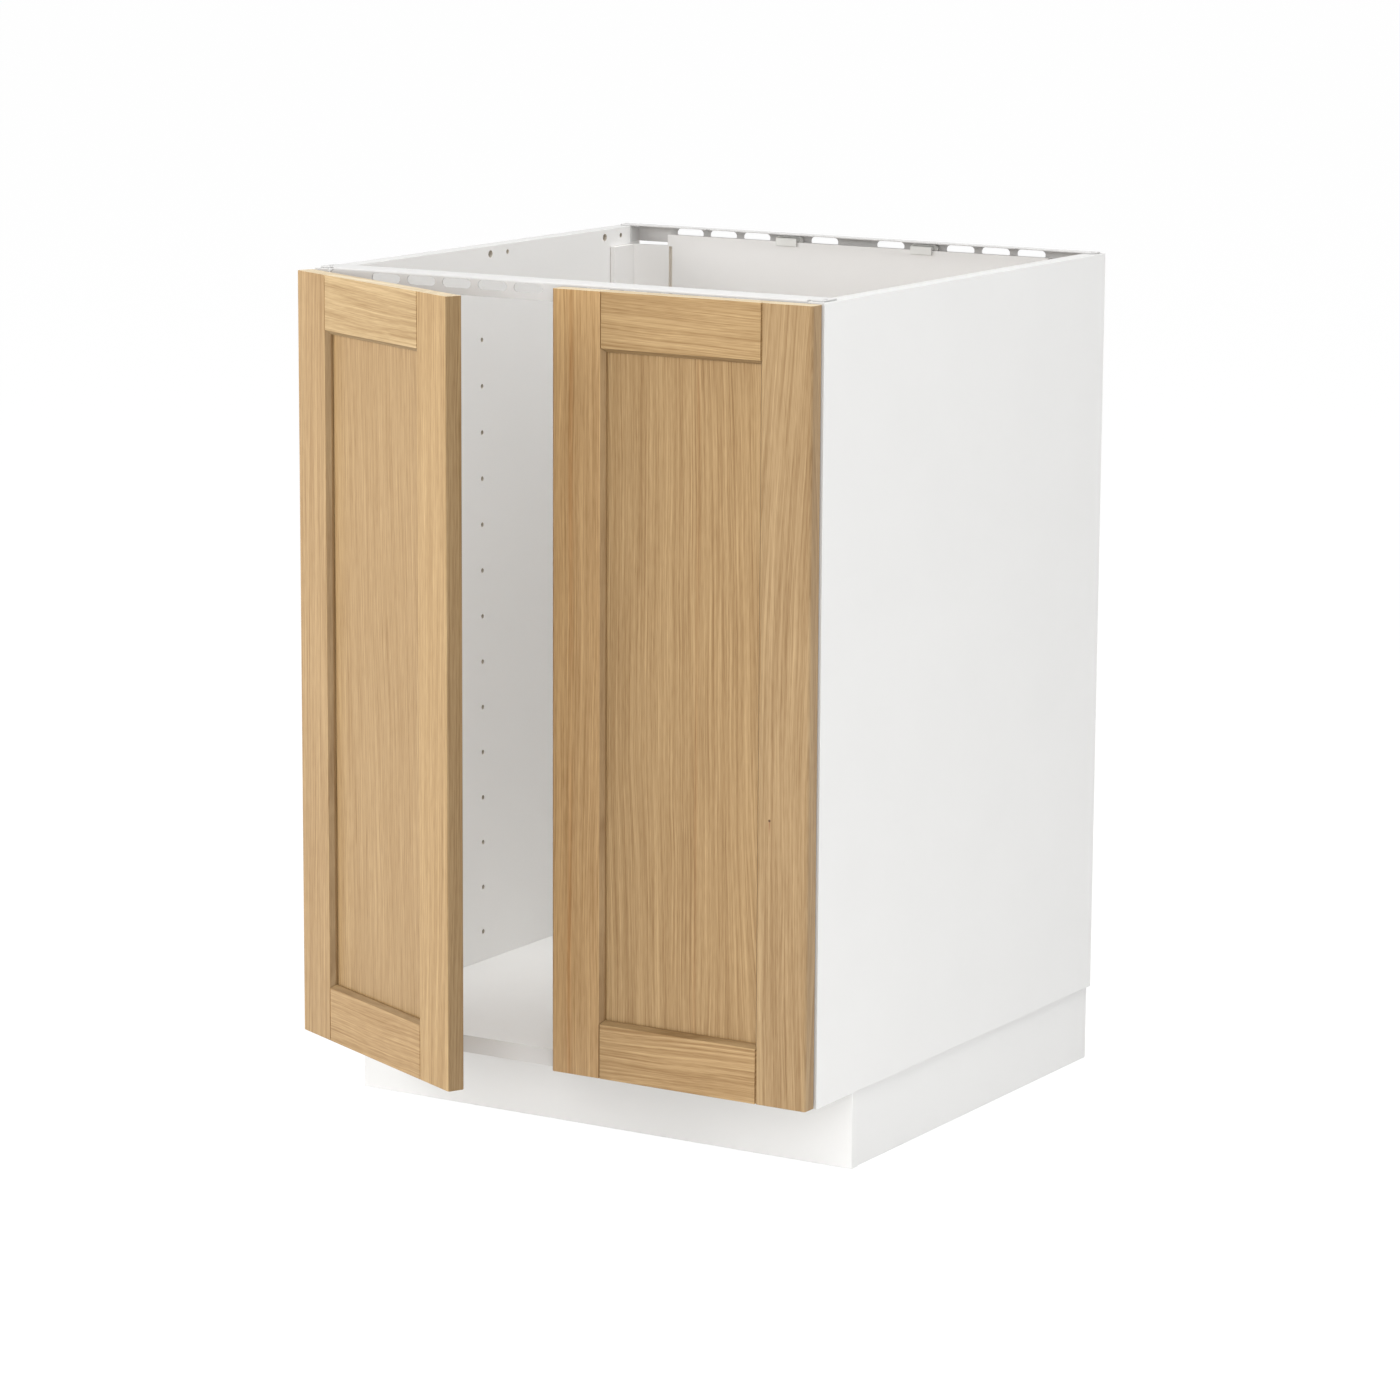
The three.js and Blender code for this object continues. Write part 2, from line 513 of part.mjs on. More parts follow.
function doorPieces(side) {
  const x = (value) => side * value;
  const slab = prism('z', outline(roundedRectangle(
    [x(DOOR_INNER_X), x(DOOR_OUTER_X)].sort((a, b) => a - b), [DOOR_FRONT_Y, DOOR_BACK_Y], DOOR_EDGE_RADIUS,
  )), DOOR_LOW_Z, DOOR_HIGH_Z);
  const openingX = [x(STILE_INNER.meeting), x(STILE_INNER.hinge)].sort((a, b) => a - b);
  const opening = slopedOpening(...openingX, OPENING_LOW_Z, OPENING_HIGH_Z, DOOR_FRONT_Y, DOOR_MOULDING);
  const panelFront = DOOR_FRONT_Y + DOOR_RECESS;
  const panelBack = panelFront + DOOR_PANEL_THICKNESS;
  const groove = block(
    [x(STILE_INNER.meeting - DOOR_GROOVE.depth), panelFront - FIT, DOOR_LOW_Z + DOOR_GROOVE.stopped],
    [x(STILE_INNER.hinge + DOOR_GROOVE.depth), panelBack + FIT, DOOR_HIGH_Z - DOOR_GROOVE.stopped],
  );
  const railGroove = block(
    [x(STILE_FACE.meeting - 1), panelFront - FIT, OPENING_LOW_Z - DOOR_GROOVE.depth],
    [x(STILE_FACE.hinge + 1), panelBack + FIT, OPENING_HIGH_Z + DOOR_GROOVE.depth],
  );
  const shaped = (points) => (
    prism('y', outline(points.map(([u, z]) => [x(u), z])), DOOR_FRONT_Y - 1, DOOR_BACK_Y + 1)
      .intersect(slab).subtract(opening)
  );

  // A stile keeps its moulding between the rails, and the two meet along a mitre at each corner.
  const tenonTop = DOOR_HIGH_Z - TENON.fromOutside;
  const faceLowZ = DOOR_LOW_Z + DOOR_MEMBER;
  const faceHighZ = DOOR_HIGH_Z - DOOR_MEMBER;
  const stile = (outer, face, inner) => shaped([
    [outer, DOOR_LOW_Z - 1], [face, DOOR_LOW_Z - 1], [face, faceLowZ], [inner, OPENING_LOW_Z],
    [inner, OPENING_HIGH_Z], [face, faceHighZ], [face, DOOR_HIGH_Z + 1], [outer, DOOR_HIGH_Z + 1],
  ]).subtract(groove);
  const cupBores = Object.values(HINGE_HEIGHTS).map((z) => (
    rod('y', x(CUP_X), z, CUP.radius + 0.4, DOOR_BACK_Y - CUP.boreDepth, DOOR_BACK_Y + 1, CUP.sides)
  ));
  const hingeSlot = side === SIDES.right ? WIDE_JOINT_SLOT : JOINT_SLOT;
  const rail = (outerZ, faceZ, innerZ, tenonLow) => {
    const meeting = STILE_FACE.meeting + FIT;
    const hinge = STILE_FACE.hinge - FIT;
    const { width } = DOOR_MOULDING;
    const body = shaped([
      [meeting, outerZ], [hinge, outerZ], [hinge, faceZ], [hinge - width, innerZ],
      [meeting + width, innerZ], [meeting, faceZ],
    ]);
    const slots = [
      block([x(meeting - 1), DOOR_FRONT_Y - 1, outerZ],
        [x(meeting + JOINT_SLOT.width), DOOR_FRONT_Y + JOINT_SLOT.depth, faceZ]),
      block([x(hinge - hingeSlot.width), DOOR_FRONT_Y - 1, outerZ],
        [x(hinge + 1), DOOR_FRONT_Y + hingeSlot.depth, faceZ]),
    ];
    const tenons = block(
      [x(STILE_INNER.meeting - TENON.length), panelFront, tenonLow],
      [x(STILE_INNER.hinge + TENON.length), panelBack, tenonLow + TENON.height],
    );
    return body.subtract(join([railGroove, ...slots])).add(tenons);
  };
  return {
    stile_hinge_side: stile(DOOR_OUTER_X + 1, STILE_FACE.hinge, STILE_INNER.hinge).subtract(join(cupBores)),
    stile_meeting_side: stile(DOOR_INNER_X - 1, STILE_FACE.meeting, STILE_INNER.meeting),
    top_rail: rail(DOOR_HIGH_Z + 1, faceHighZ, OPENING_HIGH_Z, tenonTop - TENON.height),
    bottom_rail: rail(DOOR_LOW_Z - 1, faceLowZ, OPENING_LOW_Z, DOOR_LOW_Z + TENON.fromOutside),
    panel: block(
      [x(STILE_INNER.meeting - DOOR_PANEL_TONGUE), panelFront, OPENING_LOW_Z - DOOR_PANEL_TONGUE],
      [x(STILE_INNER.hinge + DOOR_PANEL_TONGUE), panelBack, OPENING_HIGH_Z + DOOR_PANEL_TONGUE],
    ),
  };
}

// ---- Concealed hinges ----
// Two a door. A cup is let into the stile, an arm stands on a plate on the side panel, and two links
// join them. The door turns about a line near the side panel's front edge. A front link turns on the
// arm's pin and a cup link on the cup's pin, and they meet at a pin with play. Places are for a closed
// door, as distances from the cabinet's centre plane and from the side panels' front edges.
const SWING_AXIS = [298, 6];
const ARM_PIN = [266, 9.6];
const CUP_PIN = [278.6, -4];
const FRONT_LINK = { length: 20.4, angle: -19.3, perDoorDegree: 1.07 };
const CUP_LINK = { perDoorDegree: 0.95, end: [246.3, 3.1], bends: [[270, -1.2], [263, 2.8]] };
const LINK = { half: 2, eye: 3.4, cheekLow: 4.5, cheekHigh: 6.3, core: 4.2, pin: 1.5, bore: 1.95 };
const PLAY_PIN = 1.2;
const PLAY_BORE = 2.3;
const ARM = { outerX: 262.6, innerX: 277, half: 8, wall: 1.4, front: 18, rear: 72 };
const PLATE = { wall: 2, front: 28, rear: 46, saddleTop: 268, saddleHalf: 6.2 };
const SADDLE = { front: 24, rear: 64 };

function mirrored(side, [x, y]) {
  return [side * x, y];
}

function playPin() {
  const angle = THREE.MathUtils.degToRad(FRONT_LINK.angle);
  const { length } = FRONT_LINK;
  return [ARM_PIN[0] - length * Math.cos(angle), ARM_PIN[1] + length * Math.sin(angle)];
}

function hingeCup(side, z) {
  const x = side * CUP_X;
  const mouth = DOOR_BACK_Y + FIT + CUP.plate;
  const bottom = mouth - CUP.depth;
  const inside = CUP.radius - CUP.wall;
  const plate = outline([
    [side * (CUP_X - 18), z - CUP.plateHalf + 5], [side * (CUP_X - 13), z - CUP.plateHalf],
    [side * (CUP_X + 8), z - CUP.plateHalf], [side * (CUP_X + 17.4), z - 12],
    [side * (CUP_X + 17.4), z + 12], [side * (CUP_X + 8), z + CUP.plateHalf],
    [side * (CUP_X - 13), z + CUP.plateHalf], [side * (CUP_X - 18), z + CUP.plateHalf - 5],
  ]);
  const shell = prism('y', plate, mouth - CUP.plate, mouth)
    .add(rod('y', x, z, CUP.radius, bottom, mouth, CUP.sides))
    .subtract(rod('y', x, z, inside, bottom + CUP.wall, mouth + 1, CUP.sides));
  const [pinX, pinY] = mirrored(side, CUP_PIN);
  return shell.add(rod('z', pinX, pinY, LINK.pin, z - inside - 0.1, z + inside + 0.1));
}

function cupLink(side, z) {
  const low = z - LINK.core;
  const high = z + LINK.core;
  const route = [CUP_PIN, ...CUP_LINK.bends, CUP_LINK.end].map((point) => mirrored(side, point));
  const pieces = route.slice(1).map((point, i) => prism('z', strip(route[i], point, LINK.half), low, high));
  const eyes = [route[0], route[route.length - 1]];
  for (const [x, y] of eyes) pieces.push(rod('z', x, y, LINK.eye, low, high));
  const bores = eyes.map(([x, y], i) => rod('z', x, y, i === 0 ? LINK.bore : PLAY_BORE, low - 1, high + 1));
  return join(pieces).subtract(join(bores));
}

function frontLink(side, z) {
  const armPin = mirrored(side, ARM_PIN);
  const meetingPin = mirrored(side, playPin());
  const cheek = strip(armPin, meetingPin, LINK.half + 0.6);
  return join([
    prism('z', cheek, z + LINK.cheekLow, z + LINK.cheekHigh),
    prism('z', cheek, z - LINK.cheekHigh, z - LINK.cheekLow),
    rod('z', ...armPin, LINK.pin, z - LINK.cheekHigh - 0.6, z + LINK.cheekHigh + 0.6),
    rod('z', ...meetingPin, PLAY_PIN, z - LINK.cheekHigh - 0.6, z + LINK.cheekHigh + 0.6),
  ]);
}

function hingeArm(side, z) {
  const x = (value) => side * value;
  const channel = block([x(ARM.outerX), ARM.front, z - ARM.half], [x(ARM.innerX), ARM.rear, z + ARM.half])
    .subtract(block(
      [x(ARM.outerX + ARM.wall), ARM.front - 1, z - ARM.half + ARM.wall],
      [x(ARM.innerX + 1), ARM.rear + 1, z + ARM.half - ARM.wall],
    ));
  const [pinX, pinY] = mirrored(side, ARM_PIN);
  const noseTop = ARM.outerX;
  const noseRear = SADDLE.front - FIT;
  const nose = join([
    rod('z', pinX, pinY, LINK.eye, z - LINK.core, z + LINK.core),
    prism('z', outline([
      [x(noseTop), pinY + 1], [x(ARM_PIN[0] + LINK.eye), pinY],
      [x(ARM_PIN[0] + LINK.eye), noseRear], [x(noseTop), noseRear],
    ]), z - LINK.core, z + LINK.core),
  ]).subtract(rod('z', pinX, pinY, LINK.bore, z - LINK.core - 1, z + LINK.core + 1));
  const screws = [40, 58].map((y) => (
    rod('x', y, z, 2.6, x(PLATE.saddleTop - FIT), x(ARM.outerX - 1.2), 10)
  ));
  return join([channel, nose, ...screws]);
}

function mountingPlate(side, z) {
  const x = (value) => side * value;
  const face = INNER_X - FIT;
  const wing = block(
    [x(face), PLATE.front, z - HINGE_PLATE_HALF],
    [x(face - PLATE.wall), PLATE.rear, z + HINGE_PLATE_HALF],
  );
  const saddle = block(
    [x(face), SADDLE.front, z - PLATE.saddleHalf],
    [x(PLATE.saddleTop), SADDLE.rear, z + PLATE.saddleHalf],
  );
  return wing.add(saddle);
}

const RESTING_OPEN = { left: LEFT_DOOR_AJAR, right: 0 };
for (const [sideName, side] of Object.entries(SIDES)) {
  const open = RESTING_OPEN[sideName];
  const door = turnedGroup(carcass, mirrored(side, SWING_AXIS), side * open);
  for (const [pieceName, solid] of Object.entries(doorPieces(side))) {
    addPiece(door, `${sideName}_door_${pieceName}`, solid, oak);
  }
  const cupLinks = turnedGroup(door, mirrored(side, CUP_PIN), -side * open * CUP_LINK.perDoorDegree);
  const frontLinks = turnedGroup(carcass, mirrored(side, ARM_PIN), side * open * FRONT_LINK.perDoorDegree);
  for (const [level, z] of Object.entries(HINGE_HEIGHTS)) {
    const hinge = `${sideName}_${level}_hinge`;
    addPiece(door, `${hinge}_cup`, hingeCup(side, z), zinc);
    addPiece(cupLinks, `${hinge}_cup_link`, cupLink(side, z), zinc);
    addPiece(frontLinks, `${hinge}_front_link`, frontLink(side, z), zinc);
    addPiece(carcass, `${hinge}_arm`, hingeArm(side, z), zinc);
    addPiece(carcass, `${hinge}_mounting_plate`, mountingPlate(side, z), zinc);
  }
}

export default cabinet;
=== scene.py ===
"""Sink base cabinet: a white carcass with steel top rails, and two framed oak doors, the left one ajar.

Metres, +Z up, +X to the right as seen from the front, +Y towards the wall. The solids give every
piece's size and place; this script gives each one its rounded edges, its finish and its small detail.
"""

import json
import math

import bmesh
import bpy
from mathutils import Matrix, Vector

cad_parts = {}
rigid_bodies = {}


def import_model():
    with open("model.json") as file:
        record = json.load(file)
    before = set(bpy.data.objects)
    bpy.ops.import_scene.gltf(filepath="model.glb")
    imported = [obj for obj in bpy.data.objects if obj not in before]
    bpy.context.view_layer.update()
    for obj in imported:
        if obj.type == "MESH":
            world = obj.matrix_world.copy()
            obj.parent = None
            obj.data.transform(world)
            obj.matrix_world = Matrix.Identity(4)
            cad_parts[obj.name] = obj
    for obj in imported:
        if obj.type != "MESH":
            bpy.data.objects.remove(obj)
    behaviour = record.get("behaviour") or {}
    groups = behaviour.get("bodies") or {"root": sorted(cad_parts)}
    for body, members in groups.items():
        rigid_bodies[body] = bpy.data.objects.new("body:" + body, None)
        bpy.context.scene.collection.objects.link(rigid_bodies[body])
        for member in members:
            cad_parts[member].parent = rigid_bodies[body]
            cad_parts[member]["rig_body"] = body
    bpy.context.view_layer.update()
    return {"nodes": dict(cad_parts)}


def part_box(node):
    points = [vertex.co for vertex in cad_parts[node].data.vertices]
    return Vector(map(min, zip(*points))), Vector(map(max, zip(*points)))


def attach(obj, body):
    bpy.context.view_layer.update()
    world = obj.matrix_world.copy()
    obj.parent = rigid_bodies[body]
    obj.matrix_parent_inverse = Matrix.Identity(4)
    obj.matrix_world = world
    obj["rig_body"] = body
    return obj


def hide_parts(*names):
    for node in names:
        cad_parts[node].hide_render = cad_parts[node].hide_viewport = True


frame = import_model()
solids = frame["nodes"]

# ---- Camera ----
# It stands at the cabinet's right front, a little above worktop height and looking slightly down,
# through a long lens, so that both doors, the right side and the open top show.
CAMERA_PLACE = (2.650, -4.201, 1.387)
CAMERA_YAW = 0.5433
CAMERA_DIP = 0.18665
CAMERA_ROLL = 0.0059
CAMERA_LENS = 127.4
SENSOR_WIDTH = 36.0

camera_data = bpy.data.cameras.new("camera")
camera_data.lens = CAMERA_LENS
camera_data.sensor_width = SENSOR_WIDTH
camera = bpy.data.objects.new("camera", camera_data)
bpy.context.scene.collection.objects.link(camera)
camera.location = CAMERA_PLACE
camera.rotation_euler = (
    Matrix.Rotation(CAMERA_YAW, 3, "Z")
    @ Matrix.Rotation(math.pi / 2 - CAMERA_DIP, 3, "X")
    @ Matrix.Rotation(CAMERA_ROLL, 3, "Z")
).to_euler()
bpy.context.scene.camera = camera
bpy.context.scene.view_settings.view_transform = "Standard"


# ---- Studio ----
# A white sweep without an edge: the floor gives back pale light and keeps a faint shadow, and both it
# and the air behind show white. Wide lamps stand at the left front, in front, at the right and above.
FLOOR_HALF = 30.0
FLOOR_DROP = 0.0002
FLOOR_ALBEDO = 0.9
FLOOR_GLOW = 0.96
SHADOW_SHARE = 0.12
AIR_LIGHT = 0.30
LAMPS = {
    # name: (place, width, height, watts)
    "left_lamp": ((-2.9, -2.4, 1.7), 2.6, 2.6, 106.0),
    "front_lamp": ((1.8, -3.6, 1.5), 2.8, 2.6, 72.0),
    "right_lamp": ((3.6, 0.9, 1.9), 2.6, 2.6, 15.0),
    "top_lamp": ((0.7, 0.1, 3.6), 2.4, 2.4, 82.0),
}
AIM = Vector((0.0, 0.1, 0.45))


def add_node(tree, kind, inputs=None, **settings):
    """Adds a node; each input takes a plain value or another node's output."""
    made = tree.nodes.new(kind)
    for name, value in settings.items():
        setattr(made, name, value)
    for socket, value in (inputs or {}).items():
        if isinstance(value, bpy.types.NodeSocket):
            tree.links.new(value, made.inputs[socket])
        else:
            made.inputs[socket].default_value = value
    return made


def seen_directly(tree):
    """1 for a ray that shows the background as such: seen by the camera, mirrored or through glass."""
    path = add_node(tree, "ShaderNodeLightPath")
    seen_or_mirrored = add_node(
        tree, "ShaderNodeMath", {0: path.outputs["Is Camera Ray"], 1: path.outputs["Is Glossy Ray"]},
        operation="MAXIMUM")
    return add_node(
        tree, "ShaderNodeMath", {0: seen_or_mirrored.outputs[0], 1: path.outputs["Is Transmission Ray"]},
        operation="MAXIMUM").outputs[0]


def studio_world():
    world = bpy.data.worlds.new("studio_air")
    world.use_nodes = True
    tree = world.node_tree
    tree.nodes.clear()
    ambient = add_node(tree, "ShaderNodeBackground", {"Color": (1, 1, 1, 1), "Strength": AIR_LIGHT})
    white = add_node(tree, "ShaderNodeBackground", {"Color": (1, 1, 1, 1), "Strength": 1.0})
    mixed = add_node(tree, "ShaderNodeMixShader",
                     {0: seen_directly(tree), 1: ambient.outputs[0], 2: white.outputs[0]})
    add_node(tree, "ShaderNodeOutputWorld", {"Surface": mixed.outputs[0]})
    return world


def floor_material():
    material = bpy.data.materials.new("studio_floor")
    material.use_nodes = True
    tree = material.node_tree
    tree.nodes.clear()
    pale = (FLOOR_ALBEDO, FLOOR_ALBEDO, FLOOR_ALBEDO, 1)
    bounce = add_node(tree, "ShaderNodeBsdfDiffuse", {"Color": pale})
    glow = add_node(tree, "ShaderNodeEmission", {"Color": (1, 1, 1, 1), "Strength": FLOOR_GLOW})
    faint = (FLOOR_ALBEDO * SHADOW_SHARE,) * 3
    shadow = add_node(tree, "ShaderNodeBsdfDiffuse", {"Color": (*faint, 1)})
    shown = add_node(tree, "ShaderNodeAddShader", {0: glow.outputs[0], 1: shadow.outputs[0]})
    mixed = add_node(tree, "ShaderNodeMixShader",
                     {0: seen_directly(tree), 1: bounce.outputs[0], 2: shown.outputs[0]})
    add_node(tree, "ShaderNodeOutputMaterial", {"Surface": mixed.outputs[0]})
    return material


def make_studio():
    bpy.context.scene.world = studio_world()
    half = FLOOR_HALF
    mesh = bpy.data.meshes.new("studio_floor")
    corners = [(-half, -half), (half, -half), (half, half), (-half, half)]
    mesh.from_pydata([(x, y, -FLOOR_DROP) for x, y in corners], [], [(0, 1, 2, 3)])
    mesh.materials.append(floor_material())
    floor = bpy.data.objects.new("studio_floor", mesh)
    bpy.context.scene.collection.objects.link(floor)
    for name, (place, width, height, watts) in LAMPS.items():
        data = bpy.data.lights.new(name, "AREA")
        data.shape = "RECTANGLE"
        data.size = width
        data.size_y = height
        data.energy = watts
        lamp = bpy.data.objects.new(name, data)
        bpy.context.scene.collection.objects.link(lamp)
        lamp.location = place
        lamp.rotation_euler = (AIM - Vector(place)).to_track_quat("-Z", "Y").to_euler()
        lamp.visible_glossy = False


make_studio()


# ---- Side panels, bottom panel and plinth boards ----
# 18 mm particle board in white foil, with a glued edge band. The bottom panel's foil is a greyer copy,
# painted shade for the inside of the carcass. The side panels are drilled on the inside for shelf pins,
# hinge plates, dowels and the rails' studs, and the bare particle board shows in the holes.
BOARD_EDGE = 0.0006
SAME_PLACE = 2e-6
SAME_PLANE = math.radians(0.5)
CURVE_ANGLE = math.radians(35)
SMOOTH_ANGLE = math.radians(50)
FINE_RELIEF = 0.0002  # height of the texture on a coated or moulded face
FOIL_COLOURS = ((0.880, 0.877, 0.865), (0.868, 0.865, 0.853))
# painted shade: a greyer copy of the white foil for the bottom panel inside the carcass
SHADED_FLOOR_FOIL_COLOURS = ((0.792, 0.789, 0.778), (0.781, 0.779, 0.769))
BAND_COLOURS = ((0.660, 0.656, 0.645), (0.648, 0.644, 0.633))
FOIL_ROUGHNESS = (0.55, 0.63)
FOIL_GRAIN = 0.0011
FOIL_BUMP = 0.12
WHITE_GLOSS = 0.08  # low, as every white surface here is matt
CHIP_COLOURS = ((0.54, 0.49, 0.42), (0.76, 0.70, 0.61))
CHIP_SIZE = 0.0016
CHIP_RELIEF = 0.0004

HOLE_SIDES = 24
PIN_HOLE = {"Radius": 0.0025, "Depth": 0.011}
LARGE_HOLE = {"Radius": 0.004, "Depth": 0.013}
STUD_HOLE = {"Radius": 0.0023, "Depth": 0.014}
DOWEL_HOLE = {"Radius": 0.0043, "Depth": 0.0123}
PILOT_HOLE = {"Radius": 0.0016, "Depth": 0.020}
PIN_PITCH = 0.050
PIN_FIRST_HEIGHT = 0.1305
PIN_ROWS = 14
PIN_COLUMNS = (0.0370, 0.2806, 0.5097)  # from the panel's front edge
HINGE_ROWS = (1, 13)
TOP_ROW_HEIGHT = 0.871
TOP_ROW_STEP = 0.2291
LARGE_HOLE_START = 0.2975
SMALL_HOLE_START = 0.3307
STUD_FROM_EDGE = 0.012
DOWEL_FROM_EDGE = 0.060
PILOT_FROM_EDGES = (0.0175, 0.0125)  # from the panel's front and rear edges


def new_group(kind, name, inputs, outputs):
    """An empty node group with its named sockets; returns the tree and its input and output nodes."""
    tree = bpy.data.node_groups.new(name, kind)
    for direction, sockets in (("INPUT", inputs), ("OUTPUT", outputs)):
        for socket_name, (socket_kind, default) in sockets.items():
            socket = tree.interface.new_socket(socket_name, in_out=direction, socket_type=socket_kind)
            if default is not None:
                socket.default_value = default
    return tree, tree.nodes.new("NodeGroupInput"), tree.nodes.new("NodeGroupOutput")


def stretched(tree, place, scales):
    """A place, multiplied along X, Y and Z."""
    return add_node(tree, "ShaderNodeVectorMath", {0: place, 1: scales}, operation="MULTIPLY").outputs[0]


def math_node(tree, operation, first, second=0.0, clamp=False):
    return add_node(tree, "ShaderNodeMath", {0: first, 1: second}, operation=operation,
                    use_clamp=clamp).outputs[0]


def value_range(tree, value, low, high, new_low=0.0, new_high=1.0, smooth=False):
    made = add_node(
        tree, "ShaderNodeMapRange",
        {"Value": value, "From Min": low, "From Max": high, "To Min": new_low, "To Max": new_high},
        interpolation_type="SMOOTHSTEP" if smooth else "LINEAR")
    return made.outputs["Result"]


def colour_mix(tree, factor, first, second, blend="MIX"):
    made = add_node(tree, "ShaderNodeMix", data_type="RGBA", blend_type=blend)
    for socket, value in ((made.inputs[0], factor), (made.inputs[6], first), (made.inputs[7], second)):
        if isinstance(value, bpy.types.NodeSocket):
            tree.links.new(value, socket)
        elif socket.type == "RGBA":
            socket.default_value = (*value, 1)
        else:
            socket.default_value = value
    return made.outputs[2]


def surface_grain_group():
    """The slight texture of a coated or moulded face: a fine height, and slow patches from 0 to 1."""
    tree, given, result = new_group(
        "ShaderNodeTree", "surface grain",
        {"Place": ("NodeSocketVector", None), "Fineness": ("NodeSocketFloat", 800.0),
         "Patches": ("NodeSocketFloat", 9.0)},
        {"Height": ("NodeSocketFloat", None), "Patch": ("NodeSocketFloat", None)},
    )
    fine = add_node(tree, "ShaderNodeTexNoise",
                    {"Vector": given.outputs["Place"], "Scale": given.outputs["Fineness"], "Detail": 2.0})
    slow = add_node(tree, "ShaderNodeTexNoise",
                    {"Vector": given.outputs["Place"], "Scale": given.outputs["Patches"], "Detail": 3.0})
    tree.links.new(fine.outputs["Fac"], result.inputs["Height"])
    tree.links.new(value_range(tree, slow.outputs["Fac"], 0.3, 0.7), result.inputs["Patch"])
    return tree


surface_grain = surface_grain_group()


def new_finish(name, colour, roughness, metallic=0.0):
    """A material with its principled shader; returns the material, its tree, the shader and the place."""
    material = bpy.data.materials.new(name)
    material.use_nodes = True
    tree = material.node_tree
    shader = tree.nodes["Principled BSDF"]
    shader.inputs["Base Color"].default_value = (*colour, 1)
    shader.inputs["Roughness"].default_value = roughness
    shader.inputs["Metallic"].default_value = metallic
    place = add_node(tree, "ShaderNodeTexCoord").outputs["Object"]
    return material, tree, shader, place


def coated_finish(name, colours, roughness, fineness, bump, metallic=0.0, patches=9.0, gloss=0.5):
    """A coated, foiled or moulded surface: two near tones in patches, and a fine even texture."""
    material, tree, shader, place = new_finish(name, colours[0], roughness[0], metallic)
    shader.inputs["Specular IOR Level"].default_value = gloss
    grain = add_node(tree, "ShaderNodeGroup", node_tree=surface_grain)
    tree.links.new(place, grain.inputs["Place"])
    grain.inputs["Fineness"].default_value = fineness
    grain.inputs["Patches"].default_value = patches
    patch = grain.outputs["Patch"]
    tree.links.new(colour_mix(tree, patch, colours[0], colours[1]), shader.inputs["Base Color"])
    tree.links.new(value_range(tree, patch, 0, 1, *roughness), shader.inputs["Roughness"])
    bumped = add_node(tree, "ShaderNodeBump",
                      {"Height": grain.outputs["Height"], "Strength": bump, "Distance": FINE_RELIEF})
    tree.links.new(bumped.outputs[0], shader.inputs["Normal"])
    return material


def chipboard_finish():
    """Bare particle board, as it shows in a drilled hole: short chips in several browns."""
    material, tree, shader, place = new_finish("bare_particle_board", CHIP_COLOURS[0], 0.85)
    chips = add_node(tree, "ShaderNodeTexVoronoi", {"Vector": place, "Scale": 1 / CHIP_SIZE})
    tone = add_node(tree, "ShaderNodeSeparateColor", {"Color": chips.outputs["Color"]}).outputs[0]
    tree.links.new(colour_mix(tree, tone, *CHIP_COLOURS), shader.inputs["Base Color"])
    bumped = add_node(tree, "ShaderNodeBump",
                      {"Height": chips.outputs["Distance"], "Strength": 0.6, "Distance": CHIP_RELIEF})
    tree.links.new(bumped.outputs[0], shader.inputs["Normal"])
    return material


def foil_finish(name, colours):
    return coated_finish(name, colours, FOIL_ROUGHNESS, 1 / FOIL_GRAIN, FOIL_BUMP, gloss=WHITE_GLOSS)


white_foil = foil_finish("white_foil", FOIL_COLOURS)
# painted shade: the bottom panel's greyer copy of the foil
shaded_floor_foil = foil_finish("shaded_floor_foil", SHADED_FLOOR_FOIL_COLOURS)
edge_band = foil_finish("edge_band", BAND_COLOURS)
bare_chipboard = chipboard_finish()


def bare_piece(name, node):
    """A new object with the node's shape: shared corners, and no lines across its flat faces."""
    source = solids[node].data
    mesh = bpy.data.meshes.new(name)
    mesh.from_pydata([v.co for v in source.vertices], [], [tuple(p.vertices) for p in source.polygons])
    shape = bmesh.new()
    shape.from_mesh(mesh)
    bmesh.ops.remove_doubles(shape, verts=shape.verts, dist=SAME_PLACE)
    bmesh.ops.dissolve_limit(shape, angle_limit=SAME_PLANE, verts=shape.verts, edges=shape.edges)
    bmesh.ops.recalc_face_normals(shape, faces=shape.faces)
    shape.to_mesh(mesh)
    shape.free()
    piece = bpy.data.objects.new(name, mesh)
    bpy.context.scene.collection.objects.link(piece)
    return piece


def made_plain(piece):
    """Turns the piece, as its modifiers leave it, into a plain mesh."""
    graph = bpy.context.evaluated_depsgraph_get()
    mesh = bpy.data.meshes.new_from_object(piece.evaluated_get(graph), depsgraph=graph)
    mesh.name = piece.name
    piece.modifiers.clear()
    piece.data = mesh
    return piece


def round_edges(piece, radius, segments=2):
    """Eases every sharp edge of the piece and shades its curved faces smooth."""
    bevel = piece.modifiers.new("eased edges", "BEVEL")
    bevel.width = radius
    bevel.segments = segments
    bevel.limit_method = "ANGLE"
    bevel.angle_limit = CURVE_ANGLE
    made_plain(piece)
    return shade_by_angle(piece)


def shade_by_angle(piece):
    mesh = piece.data
    mesh.polygons.foreach_set("use_smooth", [True] * len(mesh.polygons))
    mesh.set_sharp_from_angle(angle=SMOOTH_ANGLE)
    weighted = piece.modifiers.new("flat faces stay flat", "WEIGHTED_NORMAL")
    weighted.keep_sharp = True
    return made_plain(piece)


def put_on(piece, body, slot, *nodes):
    """The piece rides on its body and stands for its solids; the slot is not used."""
    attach(piece, body)
    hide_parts(*nodes)
    return piece


def body_of(node):
    return solids[node]["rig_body"]


